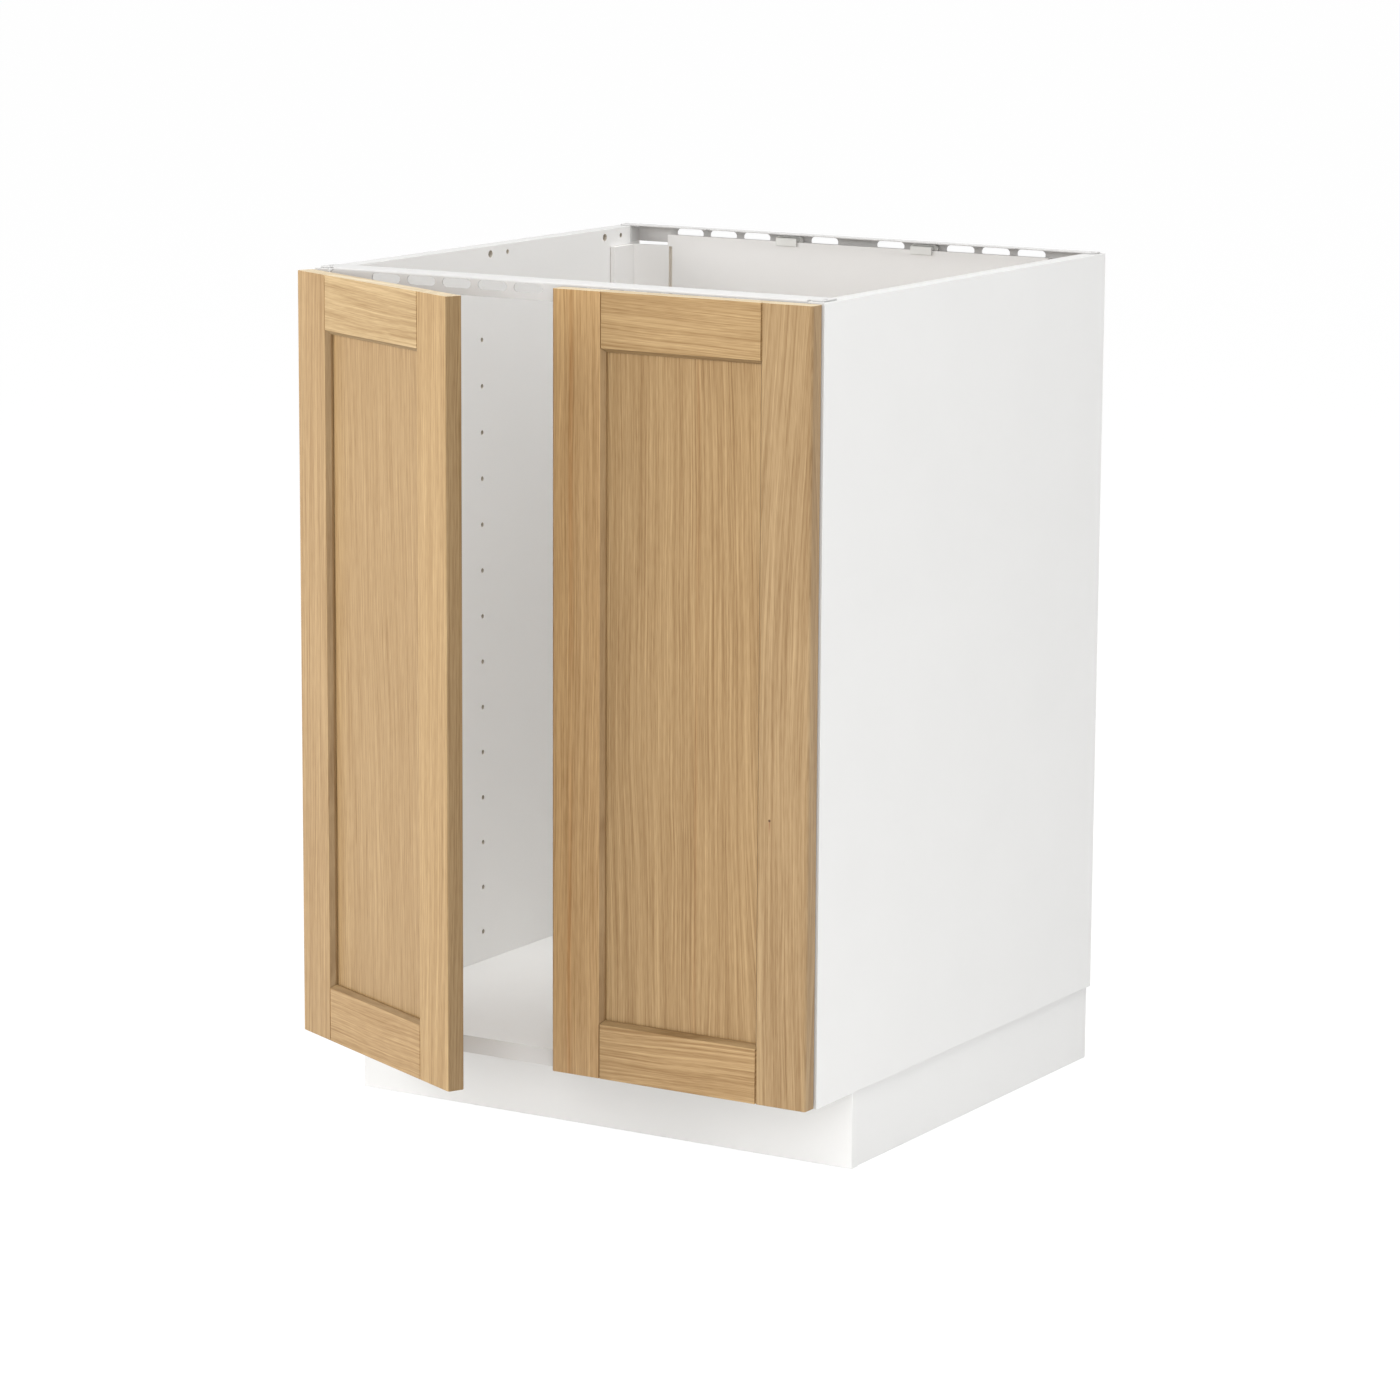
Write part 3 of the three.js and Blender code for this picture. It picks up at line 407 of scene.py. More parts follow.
def drilling_tree():
    """Blind holes in a row: round cutters along a line, taken out of the piece."""
    tree, given, result = new_group(
        "GeometryNodeTree", "row of drilled holes",
        {"Geometry": ("NodeSocketGeometry", None), "Count": ("NodeSocketInt", 2),
         "Start": ("NodeSocketVector", None), "Step": ("NodeSocketVector", None),
         "Direction": ("NodeSocketVector", (0, 0, 1)), "Radius": ("NodeSocketFloat", 0.0025),
         "Depth": ("NodeSocketFloat", 0.011), "Sides": ("NodeSocketInt", HOLE_SIDES),
         "Bore Material": ("NodeSocketMaterial", None)},
        {"Geometry": ("NodeSocketGeometry", None)},
    )
    overlap = 0.001
    places = add_node(tree, "GeometryNodeMeshLine",
                      {"Count": given.outputs["Count"], "Start Location": given.outputs["Start"],
                       "Offset": given.outputs["Step"]}, mode="OFFSET")
    length = math_node(tree, "ADD", given.outputs["Depth"], overlap)
    cutter = add_node(
        tree, "GeometryNodeMeshCylinder",
        {"Vertices": given.outputs["Sides"], "Radius": given.outputs["Radius"], "Depth": length})
    rise = math_node(tree, "MULTIPLY", math_node(tree, "SUBTRACT", given.outputs["Depth"], overlap), 0.5)
    offset = add_node(tree, "ShaderNodeCombineXYZ", {"Z": rise})
    sunk = add_node(tree, "GeometryNodeTransform",
                    {"Geometry": cutter.outputs["Mesh"], "Translation": offset.outputs[0]})
    marked = add_node(tree, "GeometryNodeStoreNamedAttribute",
                      {"Geometry": sunk.outputs[0], "Name": "bored", "Value": True},
                      data_type="BOOLEAN", domain="FACE")
    turn = add_node(tree, "FunctionNodeAlignRotationToVector",
                    {"Vector": given.outputs["Direction"]}, axis="Z")
    drills = add_node(tree, "GeometryNodeInstanceOnPoints",
                      {"Points": places.outputs[0], "Instance": marked.outputs[0],
                       "Rotation": turn.outputs[0]})
    solid_drills = add_node(tree, "GeometryNodeRealizeInstances", {"Geometry": drills.outputs[0]})
    cut = add_node(tree, "GeometryNodeMeshBoolean", operation="DIFFERENCE", solver="EXACT")
    tree.links.new(given.outputs["Geometry"], cut.inputs["Mesh 1"])
    tree.links.new(solid_drills.outputs[0], cut.inputs["Mesh 2"])
    real = add_node(tree, "GeometryNodeRealizeInstances", {"Geometry": cut.outputs["Mesh"]})
    bored = add_node(tree, "GeometryNodeInputNamedAttribute", {"Name": "bored"}, data_type="BOOLEAN")
    painted = add_node(tree, "GeometryNodeSetMaterial",
                       {"Geometry": real.outputs[0], "Selection": bored.outputs["Attribute"],
                        "Material": given.outputs["Bore Material"]})
    tree.links.new(painted.outputs[0], result.inputs["Geometry"])
    return tree


def add_tree(piece, tree, values):
    """A Geometry Nodes modifier on the piece, with its named inputs set."""
    modifier = piece.modifiers.new(tree.name, "NODES")
    modifier.node_group = tree
    for item in tree.interface.items_tree:
        if item.in_out == "INPUT" and item.name in values:
            modifier[item.identifier] = values[item.name]
    return modifier


drilling = drilling_tree()


def band_edges(board):
    """Gives the edge band's finish to the faces round the board's rim."""
    low = Vector(min(v.co[axis] for v in board.data.vertices) for axis in range(3))
    high = Vector(max(v.co[axis] for v in board.data.vertices) for axis in range(3))
    thin = min(range(3), key=lambda axis: high[axis] - low[axis])
    index = len(board.data.materials)
    board.data.materials.append(edge_band)
    for face in board.data.polygons:
        centre = face.center
        on_rim = any(min(centre[axis] - low[axis], high[axis] - centre[axis]) < BOARD_EDGE
                     for axis in range(3) if axis != thin)
        if on_rim and abs(face.normal[thin]) < 0.9:
            face.material_index = index


def drill(piece, count, start, step, direction, size):
    add_tree(piece, drilling, {"Count": count, "Start": start, "Step": step, "Direction": direction,
                               "Bore Material": bare_chipboard, **size})


def side_panel(side_name):
    node = f"{side_name}_side_panel"
    low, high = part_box(node)
    outward = 1.0 if low.x > 0 else -1.0
    face = low.x if outward > 0 else high.x
    middle = (low.x + high.x) / 2
    piece = bare_piece(f"{node}_foiled", node)
    piece.data = bpy.data.meshes.new(piece.name)
    shape = bmesh.new()
    bmesh.ops.create_cube(shape, size=1.0)
    bmesh.ops.scale(shape, vec=high - low, verts=shape.verts)
    bmesh.ops.translate(shape, vec=(low + high) / 2, verts=shape.verts)
    bmesh.ops.bevel(shape, geom=shape.edges, offset=BOARD_EDGE, segments=2, profile=0.5, affect="EDGES")
    shape.to_mesh(piece.data)
    shape.free()
    piece.data.materials.append(white_foil)

    def pin_column(column, first, last):
        start = (face, low.y + PIN_COLUMNS[column], PIN_FIRST_HEIGHT + first * PIN_PITCH)
        drill(piece, last - first + 1, start, (0, 0, PIN_PITCH), (outward, 0, 0), PIN_HOLE)

    pin_column(0, 0, HINGE_ROWS[0] - 1)
    pin_column(0, HINGE_ROWS[0] + 1, HINGE_ROWS[1] - 1)
    pin_column(1, 0, PIN_ROWS - 1)
    pin_column(2, 0, PIN_ROWS - 1)
    depth = high.y - low.y
    dowel_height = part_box(f"{side_name}_front_dowel")
    pairs = (
        (LARGE_HOLE_START, TOP_ROW_STEP, TOP_ROW_HEIGHT, LARGE_HOLE),
        (SMALL_HOLE_START, TOP_ROW_STEP, TOP_ROW_HEIGHT, PIN_HOLE),
        (STUD_FROM_EDGE, depth - 2 * STUD_FROM_EDGE, TOP_ROW_HEIGHT, STUD_HOLE),
        (DOWEL_FROM_EDGE, depth - 2 * DOWEL_FROM_EDGE,
         (dowel_height[0].z + dowel_height[1].z) / 2, DOWEL_HOLE),
    )
    for start, step, height, size in pairs:
        drill(piece, 2, (face, low.y + start, height), (0, step, 0), (outward, 0, 0), size)
    drill(piece, 2, (middle, low.y + PILOT_FROM_EDGES[0], high.z), (0, depth - sum(PILOT_FROM_EDGES), 0),
          (0, 0, -1), PILOT_HOLE)
    made_plain(piece)
    shade_by_angle(piece)
    band_edges(piece)
    put_on(piece, body_of(node), "white_board", node)


for side_name in ("left", "right"):
    side_panel(side_name)

for node in ("bottom_panel", "plinth_front_board", "plinth_side_board_left", "plinth_side_board_right"):
    board = bare_piece(f"{node}_foiled", node)
    # painted shade: the bottom panel takes the greyer copy of the foil
    board.data.materials.append(shaded_floor_foil if node == "bottom_panel" else white_foil)
    round_edges(board, BOARD_EDGE)
    if node == "bottom_panel":
        band_edges(board)
    put_on(board, body_of(node), "white_board", node)


# ---- Dowels ----
# Fluted beech pegs, glued into the side panels and the ends of the bottom panel, where none shows.
BEECH_COLOURS = ((0.62, 0.42, 0.25), (0.50, 0.32, 0.18))
BEECH_FIBRES = (60, 900, 900)  # changes in a metre along the peg and across it


def beech_finish():
    material, tree, shader, place = new_finish("beech", BEECH_COLOURS[0], 0.7)
    fibres = add_node(tree, "ShaderNodeTexNoise",
                      {"Vector": stretched(tree, place, BEECH_FIBRES), "Scale": 1.0, "Detail": 3.0})
    tree.links.new(colour_mix(tree, fibres.outputs["Fac"], *BEECH_COLOURS), shader.inputs["Base Color"])
    bumped = add_node(tree, "ShaderNodeBump",
                      {"Height": fibres.outputs["Fac"], "Strength": 0.4, "Distance": FINE_RELIEF})
    tree.links.new(bumped.outputs[0], shader.inputs["Normal"])
    return material


beech = beech_finish()
for side_name in ("left", "right"):
    for end_name in ("front", "rear"):
        peg = solids[f"{side_name}_{end_name}_dowel"]
        peg.data.materials.clear()
        peg.data.materials.append(beech)


# ---- Back panel ----
# One sheet of hardboard, lacquered white in front and left brown behind, routed along two lines and
# folded. The routed grooves cut through the lacquer and show the brown board.
LACQUER_COLOURS = ((0.840, 0.830, 0.815), (0.828, 0.818, 0.803))
HARDBOARD_COLOURS = ((0.23, 0.135, 0.075), (0.33, 0.20, 0.115))
GROOVE_COLOURS = ((0.66, 0.61, 0.54), (0.74, 0.69, 0.62))
FELT_FIBRES = (700, 700, 350)
SCREEN_PITCH = 0.0016
HARDBOARD_RELIEF = 0.0003
LACQUER_ROUGHNESS = (0.55, 0.63)
BACK_THICKNESS = 0.0055
BACK_EDGE = 0.0004
GROOVE_DEPTH = 0.003


def hardboard_finish(name, colours, screened):
    """Bare hardboard: short felted fibres and, on its rear, the print of the press's wire screen."""
    material, tree, shader, place = new_finish(name, colours[0], 0.8)
    felt = add_node(tree, "ShaderNodeTexNoise",
                    {"Vector": stretched(tree, place, FELT_FIBRES), "Scale": 1.0, "Detail": 5.0})
    tree.links.new(colour_mix(tree, felt.outputs["Fac"], *colours), shader.inputs["Base Color"])
    height = felt.outputs["Fac"]
    if screened:
        wires = [
            add_node(tree, "ShaderNodeTexWave", {"Vector": place, "Scale": 0.5 / SCREEN_PITCH},
                     bands_direction=direction).outputs["Fac"]
            for direction in ("X", "Z")
        ]
        height = math_node(tree, "ADD", math_node(tree, "MULTIPLY", *wires), height)
    bumped = add_node(tree, "ShaderNodeBump",
                      {"Height": height, "Strength": 0.5, "Distance": HARDBOARD_RELIEF})
    tree.links.new(bumped.outputs[0], shader.inputs["Normal"])
    return material


def back_panel():
    node = "back_panel"
    low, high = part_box(node)
    piece = bare_piece("back_panel_folded", node)
    finishes = (
        coated_finish("white_lacquer", LACQUER_COLOURS, LACQUER_ROUGHNESS, 700.0, 0.1, gloss=WHITE_GLOSS),
        hardboard_finish("bare_hardboard", HARDBOARD_COLOURS, True),
        hardboard_finish("routed_hardboard", GROOVE_COLOURS, False),
    )
    for finish in finishes:
        piece.data.materials.append(finish)
    round_edges(piece, BACK_EDGE)
    front = high.y - BACK_THICKNESS
    groove_floor = front + GROOVE_DEPTH + 0.0005
    for face in piece.data.polygons:
        centre = face.center
        if face.normal.y > 0.3 or abs(centre.x) > high.x - 0.0001:
            face.material_index = 1
        elif front + BACK_EDGE < centre.y < groove_floor and face.normal.y < -0.2:
            face.material_index = 2
    put_on(piece, body_of(node), "back_board", node)


back_panel()


# ---- Steel top rails ----
# Folded and punched steel strip in white powder coat, wider at the front than at the rear, each held
# by a stud on its end plate and by a lug over the side panel's edge.
POWDER_COLOURS = ((0.630, 0.625, 0.617), (0.618, 0.613, 0.605))
POWDER_ROUGHNESS = (0.50, 0.58)
RAIL_EDGE = 0.00025
powder_coat = coated_finish("white_powder_coat", POWDER_COLOURS, POWDER_ROUGHNESS, 1500.0, 0.25,
                            gloss=WHITE_GLOSS)

for node in ("front_rail", "rear_rail"):
    rail = bare_piece(f"{node}_coated", node)
    rail.data.materials.append(powder_coat)
    round_edges(rail, RAIL_EDGE)
    put_on(rail, body_of(node), "white_steel", node)


# ---- Clips on the back panel ----
# Two moulded white clips that hook over the back panel's top edge and snap into the rear rail's slots.
PLASTIC_COLOURS = ((0.80, 0.80, 0.775), (0.785, 0.785, 0.76))
PLASTIC_ROUGHNESS = (0.48, 0.56)
CLIP_EDGE = 0.0004
white_plastic = coated_finish("white_plastic", PLASTIC_COLOURS, PLASTIC_ROUGHNESS, 900.0, 0.12,
                              gloss=WHITE_GLOSS)
for node in ("back_clip_left", "back_clip_right"):
    clip = bare_piece(f"{node}_moulded", node)
    clip.data.materials.append(white_plastic)
    round_edges(clip, CLIP_EDGE)
    put_on(clip, body_of(node), "white_plastic", node)


# ---- Levelling legs and plinth clips ----
# Moulded black plastic: a socket under the bottom panel, a screwed foot in it, and a spring clip on
# the plinth's front board that snaps round each front socket.
BLACK_COLOURS = ((0.022, 0.022, 0.023), (0.03, 0.03, 0.031))
BLACK_ROUGHNESS = (0.42, 0.55)
LEG_EDGE = 0.0005
black_plastic = coated_finish("black_plastic", BLACK_COLOURS, BLACK_ROUGHNESS, 1100.0, 0.3)
leg_nodes = [
    f"{kind}_{end_name}_{side_name}"
    for kind in ("leg_socket", "levelling_foot")
    for end_name in ("front", "rear")
    for side_name in ("left", "right")
]
for node in (*leg_nodes, "plinth_clip_left", "plinth_clip_right"):
    moulding = bare_piece(f"{node}_moulded", node)
    moulding.data.materials.append(black_plastic)
    round_edges(moulding, LEG_EDGE)
    put_on(moulding, body_of(node), "dark_plastic", node)


# ---- Doors ----
# Oak frames round a thin oak panel, in clear matt lacquer: the grain runs up the stiles and the panel and
# along the rails. A dark line stands where a rail's end meets a stile. The moulded edges and those where
# the doors meet carry painted shade, a darker copy of the oak, and the top edges a painted highlight, a
# paler copy.
DOOR_EDGE = 0.0004
LEFT_DOOR_OPEN = math.radians(25.3)
LEFT_PIVOT = Vector((-0.298, -0.0765, 0.0))
# Oak's colour over its mean, in a dark streak and in a light one: the darker, the redder.
OAK_DARK = (0.708, 0.650, 0.571)
OAK_LIGHT = (1.270, 1.350, 1.477)
VEIN_COLOUR = (0.93, 0.80, 0.68)
KNOT_COLOUR = (0.075, 0.030, 0.013)
KNOT_STAIN = (0.26, 0.12, 0.05)
KNOT_DOT = (0.0007, 0.0018)  # the dot's dark core, and where it has faded away
STAIN_SIDES = (0.0003, 0.0013)
STAIN_LENGTH = (0.004, 0.017)
PORE_RELIEF = 0.0003
PIN_KNOTS = {("right", "stile_hinge_side"): (0.255, 0.0, 0.3705)}


def oak_figure_group():
    """Oak as solid timber: growth layers are cones round a heart line, and streaks follow them.

    Place is in the timber's own directions: X across the face, Y into it and Z along the grain."""
    floats = {"Heart Across": 0.0, "Heart Depth": 0.1, "Lean": 0.0, "Taper": 0.0, "Bend": 0.0,
              "Bend Height": 0.4, "Waviness": 1.0, "Ring Width": 0.003, "Figure": 0.1, "Streaks": 1.0,
              "Vein Across": 9.0, "Vein Width": 0.004, "Vein Strength": 0.0, "Seed": 0.0}
    tree, given, result = new_group(
        "ShaderNodeTree", "oak figure",
        {"Place": ("NodeSocketVector", None), "Tone": ("NodeSocketColor", (0.4, 0.24, 0.11, 1)),
         **{name: ("NodeSocketFloat", value) for name, value in floats.items()}},
        {"Colour": ("NodeSocketColor", None), "Height": ("NodeSocketFloat", None),
         "Roughness": ("NodeSocketFloat", None)},
    )
    place = given.outputs["Place"]
    seed = math_node(tree, "MULTIPLY", given.outputs["Seed"], 7.31)

    def noise(spot, scales, detail, shift, roughness=0.5):
        offset = math_node(tree, "ADD", seed, shift)
        moved = add_node(tree, "ShaderNodeVectorMath",
                         {0: stretched(tree, spot, scales), 1: offset}, operation="ADD")
        return add_node(tree, "ShaderNodeTexNoise",
                        {"Vector": moved.outputs[0], "Scale": 1.0, "Detail": detail,
                         "Roughness": roughness}).outputs["Fac"]

    def centred(value, size):
        return math_node(tree, "MULTIPLY", math_node(tree, "SUBTRACT", value, 0.5), size)

    def total(*values):
        so_far = values[0]
        for value in values[1:]:
            so_far = math_node(tree, "ADD", so_far, value)
        return so_far

    # How far a point is from the heart line, which leans, bends and wanders, less the cones' taper.
    axes = add_node(tree, "ShaderNodeSeparateXYZ", {0: place})
    wander = total(centred(noise(place, (6, 6, 1.6), 2.0, 1.0), 0.030),
                   centred(noise(place, (30, 30, 8), 1.0, 2.0), 0.006))
    wander = math_node(tree, "MULTIPLY", wander, given.outputs["Waviness"])
    leaned = math_node(tree, "MULTIPLY", axes.outputs["Z"], given.outputs["Lean"])
    rise = math_node(tree, "SUBTRACT", axes.outputs["Z"], given.outputs["Bend Height"])
    bent = math_node(tree, "MULTIPLY", math_node(tree, "MULTIPLY", rise, rise), given.outputs["Bend"])
    across = math_node(tree, "SUBTRACT", axes.outputs["X"], given.outputs["Heart Across"])
    across = math_node(tree, "SUBTRACT", across, math_node(tree, "ADD", leaned, bent))
    across = math_node(tree, "ADD", across, wander)
    depth = math_node(tree, "SUBTRACT", axes.outputs["Y"], given.outputs["Heart Depth"])
    squares = math_node(tree, "ADD", math_node(tree, "MULTIPLY", across, across),
                        math_node(tree, "MULTIPLY", depth, depth))
    tapered = math_node(tree, "MULTIPLY", axes.outputs["Z"], given.outputs["Taper"])
    layer = math_node(tree, "SUBTRACT", math_node(tree, "SQRT", squares), tapered)
    along_layer = add_node(tree, "ShaderNodeCombineXYZ",
                           {0: layer, 1: 0.0, 2: axes.outputs["Z"]}).outputs[0]

    # Growth rings, each with its own strength, and streaks from broad to fine along the layers.
    rings = math_node(tree, "DIVIDE", layer, given.outputs["Ring Width"])
    year = math_node(tree, "FLOOR", rings)
    season = math_node(tree, "FRACT", rings)
    year_tone = add_node(tree, "ShaderNodeTexWhiteNoise", {"W": math_node(tree, "ADD", year, seed)},
                         noise_dimensions="1D").outputs["Value"]
    early = math_node(tree, "MULTIPLY", value_range(tree, season, 0.0, 0.3, smooth=True),
                      value_range(tree, season, 0.35, 0.9, 1.0, 0.0, smooth=True))
    line = math_node(tree, "MULTIPLY", early, value_range(tree, year_tone, 0, 1, 0.1, 1.0))
    streaks = noise(along_layer, (620, 1, 5), 1.0, 3.0, 0.8)
    fibre = noise(place, (800, 800, 45), 1.0, 4.0, 0.8)
    pores = value_range(tree, noise(along_layer, (1100, 1, 45), 1.0, 5.0), 0.56, 0.70)
    slow = noise(along_layer, (150, 1, 1.8), 1.0, 6.0)

    bright = total(0.5, math_node(tree, "MULTIPLY", centred(streaks, 1.7), given.outputs["Streaks"]),
                   centred(fibre, 0.75), centred(slow, 0.40))
    bright = math_node(tree, "SUBTRACT", bright, math_node(tree, "MULTIPLY", line, given.outputs["Figure"]))
    bright = math_node(tree, "SUBTRACT", bright, math_node(tree, "MULTIPLY", pores, 0.10), clamp=True)
    colour = colour_mix(tree, bright, OAK_DARK, OAK_LIGHT)
    colour = colour_mix(tree, 1.0, given.outputs["Tone"], colour, "MULTIPLY")
    vein_place = math_node(tree, "SUBTRACT", given.outputs["Vein Across"],
                           math_node(tree, "MULTIPLY", wander, 0.5))
    off_vein = math_node(tree, "ABSOLUTE", math_node(tree, "SUBTRACT", axes.outputs["X"], vein_place))
    off_vein = math_node(tree, "DIVIDE", off_vein, given.outputs["Vein Width"])
    vein = value_range(tree, off_vein, 0.0, 1.0, 1.0, 0.0, smooth=True)
    vein = math_node(tree, "MULTIPLY", vein, given.outputs["Vein Strength"])
    broken = value_range(tree, noise(place, (3, 3, 5), 1.0, 7.0), 0.35, 0.6)
    vein = math_node(tree, "MULTIPLY", vein, broken)
    veined = colour_mix(tree, 1.0, colour, VEIN_COLOUR, "MULTIPLY")
    tree.links.new(colour_mix(tree, vein, colour, veined), result.inputs["Colour"])
    height = math_node(tree, "SUBTRACT", math_node(tree, "MULTIPLY", bright, 0.5),
                       math_node(tree, "MULTIPLY", pores, 0.6))
    tree.links.new(height, result.inputs["Height"])
    tree.links.new(value_range(tree, bright, 0, 1, 0.52, 0.42), result.inputs["Roughness"])
    return tree


oak_figure = oak_figure_group()


def closed_door_place(tree, place, side_name):
    """Where a point of the door would be with the door shut, so that both doors are cut alike."""
    if side_name == "right":
        return place
    turn = Matrix.Rotation(LEFT_DOOR_OPEN, 3, "Z")
    shift = LEFT_PIVOT - turn @ LEFT_PIVOT
    return add_node(tree, "ShaderNodeMapping",
                    {"Vector": place, "Location": shift, "Rotation": (0, 0, LEFT_DOOR_OPEN)}).outputs[0]


def with_pin_knot(tree, place, colour, knot):
    """A dark dot, with a short reddish stain that runs down from it."""
    offset = add_node(tree, "ShaderNodeVectorMath", {0: place, 1: knot}, operation="SUBTRACT").outputs[0]
    axes = add_node(tree, "ShaderNodeSeparateXYZ", {0: offset})
    flat = add_node(tree, "ShaderNodeCombineXYZ", {0: axes.outputs["X"], 2: axes.outputs["Z"]}).outputs[0]
    reach = add_node(tree, "ShaderNodeVectorMath", {0: flat}, operation="LENGTH").outputs["Value"]
    beside = math_node(tree, "ABSOLUTE", axes.outputs["X"])
    stain = math_node(tree, "MULTIPLY", value_range(tree, beside, *STAIN_SIDES, 1.0, 0.0, smooth=True),
                      value_range(tree, axes.outputs["Z"], -STAIN_LENGTH[1], -STAIN_LENGTH[0]))
    stain = math_node(tree, "MULTIPLY", stain, value_range(tree, axes.outputs["Z"], 0.0, 0.001, 0.75, 0.0))
    stained = colour_mix(tree, stain, colour, KNOT_STAIN)
    dot = value_range(tree, reach, *KNOT_DOT, 0.9, 0.0, smooth=True)
    return colour_mix(tree, dot, stained, KNOT_COLOUR)


def oak_finish(name, side_name, lies_across, cut, knot=None):
    material, tree, shader, place = new_finish(name, cut["Tone"], 0.45)
    place = closed_door_place(tree, place, side_name)
    if lies_across:
        place = add_node(tree, "ShaderNodeMapping",
                         {"Vector": place, "Rotation": (0, math.pi / 2, 0)}).outputs[0]
    oak = add_node(tree, "ShaderNodeGroup", node_tree=oak_figure)
    tree.links.new(place, oak.inputs["Place"])
    for socket, value in cut.items():
        oak.inputs[socket].default_value = (*value, 1) if socket == "Tone" else value
    colour = oak.outputs["Colour"]
    if knot:
        colour = with_pin_knot(tree, place, colour, knot)
    tree.links.new(colour, shader.inputs["Base Color"])
    tree.links.new(oak.outputs["Roughness"], shader.inputs["Roughness"])
    bumped = add_node(tree, "ShaderNodeBump",
                      {"Height": oak.outputs["Height"], "Strength": 0.2, "Distance": PORE_RELIEF})
    tree.links.new(bumped.outputs[0], shader.inputs["Normal"])
    return material


# How each piece was cut: its mean colour, where the heart line lay, and its figure.
OAK_PIECES = {
    ("right", "stile_meeting_side"): {
        "Tone": (0.462, 0.288, 0.128), "Heart Across": -0.25, "Heart Depth": 0.10, "Lean": 0.004,
        "Waviness": 0.6, "Ring Width": 0.0032, "Figure": 0.10, "Streaks": 0.8, "Seed": 1.0,
        "Vein Across": 0.0235, "Vein Width": 0.004, "Vein Strength": 0.9},
    ("right", "stile_hinge_side"): {
        "Tone": (0.372, 0.240, 0.113), "Heart Across": 0.05, "Heart Depth": 0.08, "Bend": 0.09,
        "Bend Height": 0.34, "Waviness": 0.7, "Ring Width": 0.0036, "Figure": 0.12, "Streaks": 0.85,
        "Seed": 2.0},
    ("right", "top_rail"): {
        "Tone": (0.419, 0.270, 0.122), "Heart Across": 0.60, "Heart Depth": 0.10, "Lean": 0.05,
        "Waviness": 1.0, "Ring Width": 0.0044, "Figure": 0.24, "Streaks": 1.0, "Seed": 3.0},
    ("right", "bottom_rail"): {
        "Tone": (0.419, 0.265, 0.118), "Heart Across": -0.20, "Heart Depth": 0.10, "Lean": -0.02,
        "Waviness": 1.0, "Ring Width": 0.0044, "Figure": 0.22, "Streaks": 1.0, "Seed": 4.0},
    ("right", "panel"): {
        "Tone": (0.375, 0.236, 0.104), "Heart Across": 0.240, "Heart Depth": -0.05, "Lean": 0.075,
        "Taper": 0.085, "Waviness": 0.7, "Ring Width": 0.0034, "Figure": 0.10, "Streaks": 1.0, "Seed": 5.0,
        "Vein Across": 0.165, "Vein Width": 0.003, "Vein Strength": 0.5},
    ("left", "stile_meeting_side"): {
        "Tone": (0.435, 0.280, 0.126), "Heart Across": 0.20, "Heart Depth": 0.12, "Lean": 0.010,
        "Waviness": 0.6, "Ring Width": 0.0034, "Figure": 0.10, "Streaks": 0.8, "Seed": 6.0},
    ("left", "stile_hinge_side"): {
        "Tone": (0.410, 0.262, 0.120), "Heart Across": -0.55, "Heart Depth": 0.10, "Lean": 0.010,
        "Waviness": 0.6, "Ring Width": 0.0034, "Figure": 0.10, "Streaks": 0.9, "Seed": 7.0},
    ("left", "top_rail"): {
        "Tone": (0.476, 0.325, 0.158), "Heart Across": 0.55, "Heart Depth": 0.10, "Lean": 0.02,
        "Waviness": 1.0, "Ring Width": 0.0044, "Figure": 0.20, "Streaks": 0.8, "Seed": 8.0},
    ("left", "bottom_rail"): {
        "Tone": (0.432, 0.275, 0.124), "Heart Across": -0.25, "Heart Depth": 0.10, "Lean": -0.03,
        "Waviness": 1.0, "Ring Width": 0.0044, "Figure": 0.20, "Streaks": 0.8, "Seed": 9.0},
    ("left", "panel"): {
        "Tone": (0.392, 0.250, 0.113), "Heart Across": -0.40, "Heart Depth": 0.05, "Lean": -0.020,
        "Waviness": 0.8, "Ring Width": 0.0034, "Figure": 0.10, "Streaks": 0.8, "Seed": 10.0},
}
DOOR_BOX = {"left": ((-0.2985, -0.0015), (0.0815, 0.8785)), "right": ((0.0015, 0.2985), (0.0815, 0.8785))}
MEMBER_WIDTH = 0.056
MOULDING_START = MEMBER_WIDTH + 0.0005
MEETING_REACH = 0.003  # a meeting edge is within this of the cabinet's middle
TOP_REACH = 0.002
EDGE_SHADE = 0.66  # colour of the darker edges, as a share of the face's
# painted highlight: the oak of the up-facing top edges, paler as if lit from above
PAINTED_TOP_LIGHT = (0.60, 0.48, 0.30)


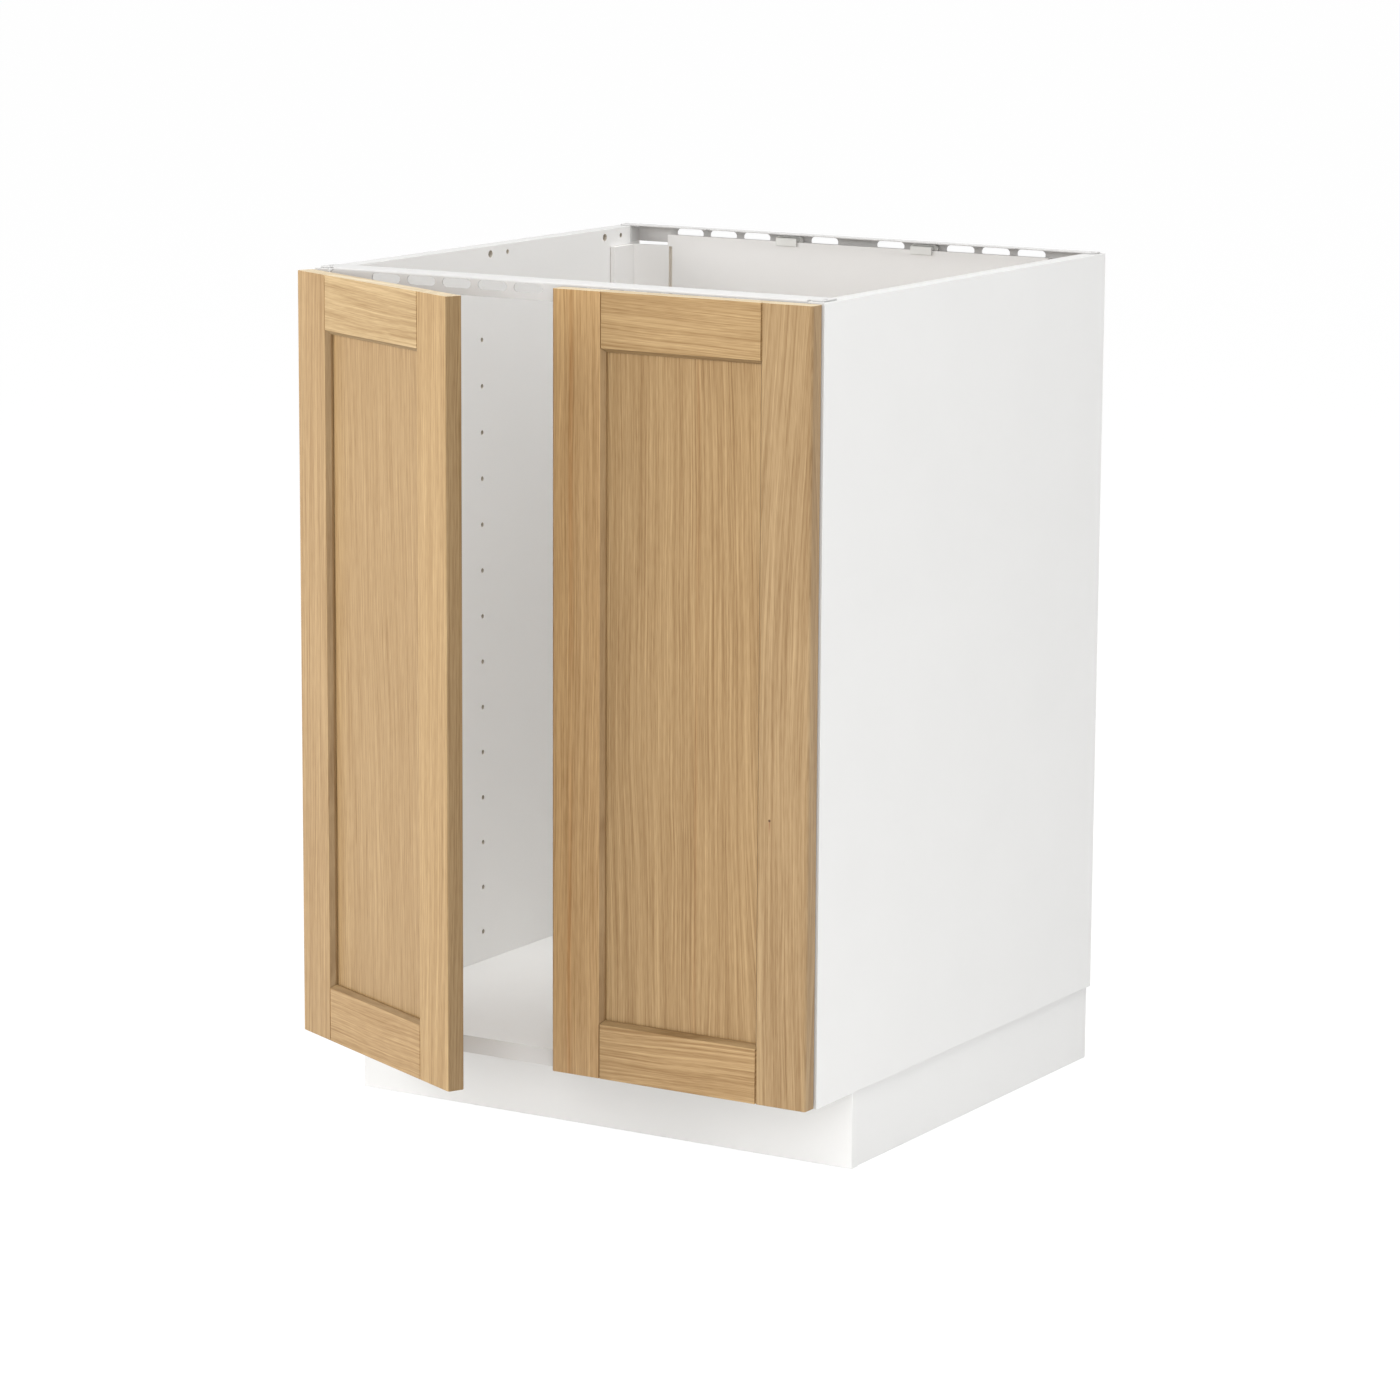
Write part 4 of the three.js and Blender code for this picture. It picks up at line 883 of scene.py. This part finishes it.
def shade_edges(timber, side_name, darker, paler):
    """Gives painted shade, a darker copy of the oak, to the moulded edge and to the edge where the doors
    meet.

    A painted highlight, a paler copy of the oak, goes on the door's top edge."""
    timber.data.materials.append(darker)
    timber.data.materials.append(paler)
    turn = Matrix.Rotation(LEFT_DOOR_OPEN if side_name == "left" else 0.0, 3, "Z")
    pivot = LEFT_PIVOT if side_name == "left" else Vector()
    (left, right), (low, high) = DOOR_BOX[side_name]
    for face in timber.data.polygons:
        centre = turn @ (face.center - pivot) + pivot
        normal = turn @ face.normal
        moulded = min(centre.x - left, right - centre.x, centre.z - low, high - centre.z) > MOULDING_START
        meeting = abs(centre.x) < MEETING_REACH and abs(normal.x) > 0.7
        # painted shade on the moulding's recess and on the meeting edge, painted highlight on the top edge
        if meeting or (moulded and normal.y < 0.5):
            face.material_index = 1
        elif normal.z > 0.7 and high - centre.z < TOP_REACH:
            face.material_index = 2


for (side_name, member), cut in OAK_PIECES.items():
    node = f"{side_name}_door_{member}"
    lies_across = member.endswith("_rail")
    timber = bare_piece(f"{node}_lacquered", node)
    knot = PIN_KNOTS.get((side_name, member))
    timber.data.materials.append(oak_finish(f"oak_{side_name}_{member}", side_name, lies_across, cut, knot))
    round_edges(timber, DOOR_EDGE)
    if member != "panel":
        # painted shade: the moulded and meeting edges take a darker copy of the oak
        shaded = {**cut, "Tone": tuple(EDGE_SHADE * part for part in cut["Tone"])}
        darker = oak_finish(f"oak_{side_name}_{member}_moulding", side_name, lies_across, shaded)
        # painted highlight: a paler copy of the oak for the top edge
        pale = {**cut, "Tone": PAINTED_TOP_LIGHT}
        paler = oak_finish(f"oak_{side_name}_{member}_top", side_name, lies_across, pale)
        shade_edges(timber, side_name, darker, paler)
    put_on(timber, body_of(node), "oak", node)


# ---- Concealed hinges ----
# Pressed and nickel-plated steel: a cup let into the stile, two links, and an arm screwed to a plate
# on the side panel.
NICKEL_COLOURS = ((0.70, 0.69, 0.67), (0.64, 0.63, 0.61))
NICKEL_ROUGHNESS = (0.2, 0.32)
PRESSING_EDGE = 0.0003


def nickel_finish():
    """Nickel-plated steel: a bright metal with fine rolling lines and slightly duller patches."""
    return coated_finish("nickel_plate", NICKEL_COLOURS, NICKEL_ROUGHNESS, 600.0, 0.05,
                         metallic=1.0, patches=60.0)


nickel = nickel_finish()
for side_name in ("left", "right"):
    for level in ("lower", "upper"):
        for part in ("cup", "cup_link", "front_link", "arm", "mounting_plate"):
            node = f"{side_name}_{level}_hinge_{part}"
            pressing = bare_piece(f"{node}_plated", node)
            pressing.data.materials.append(nickel)
            round_edges(pressing, PRESSING_EDGE)
            put_on(pressing, body_of(node), "zinc", node)
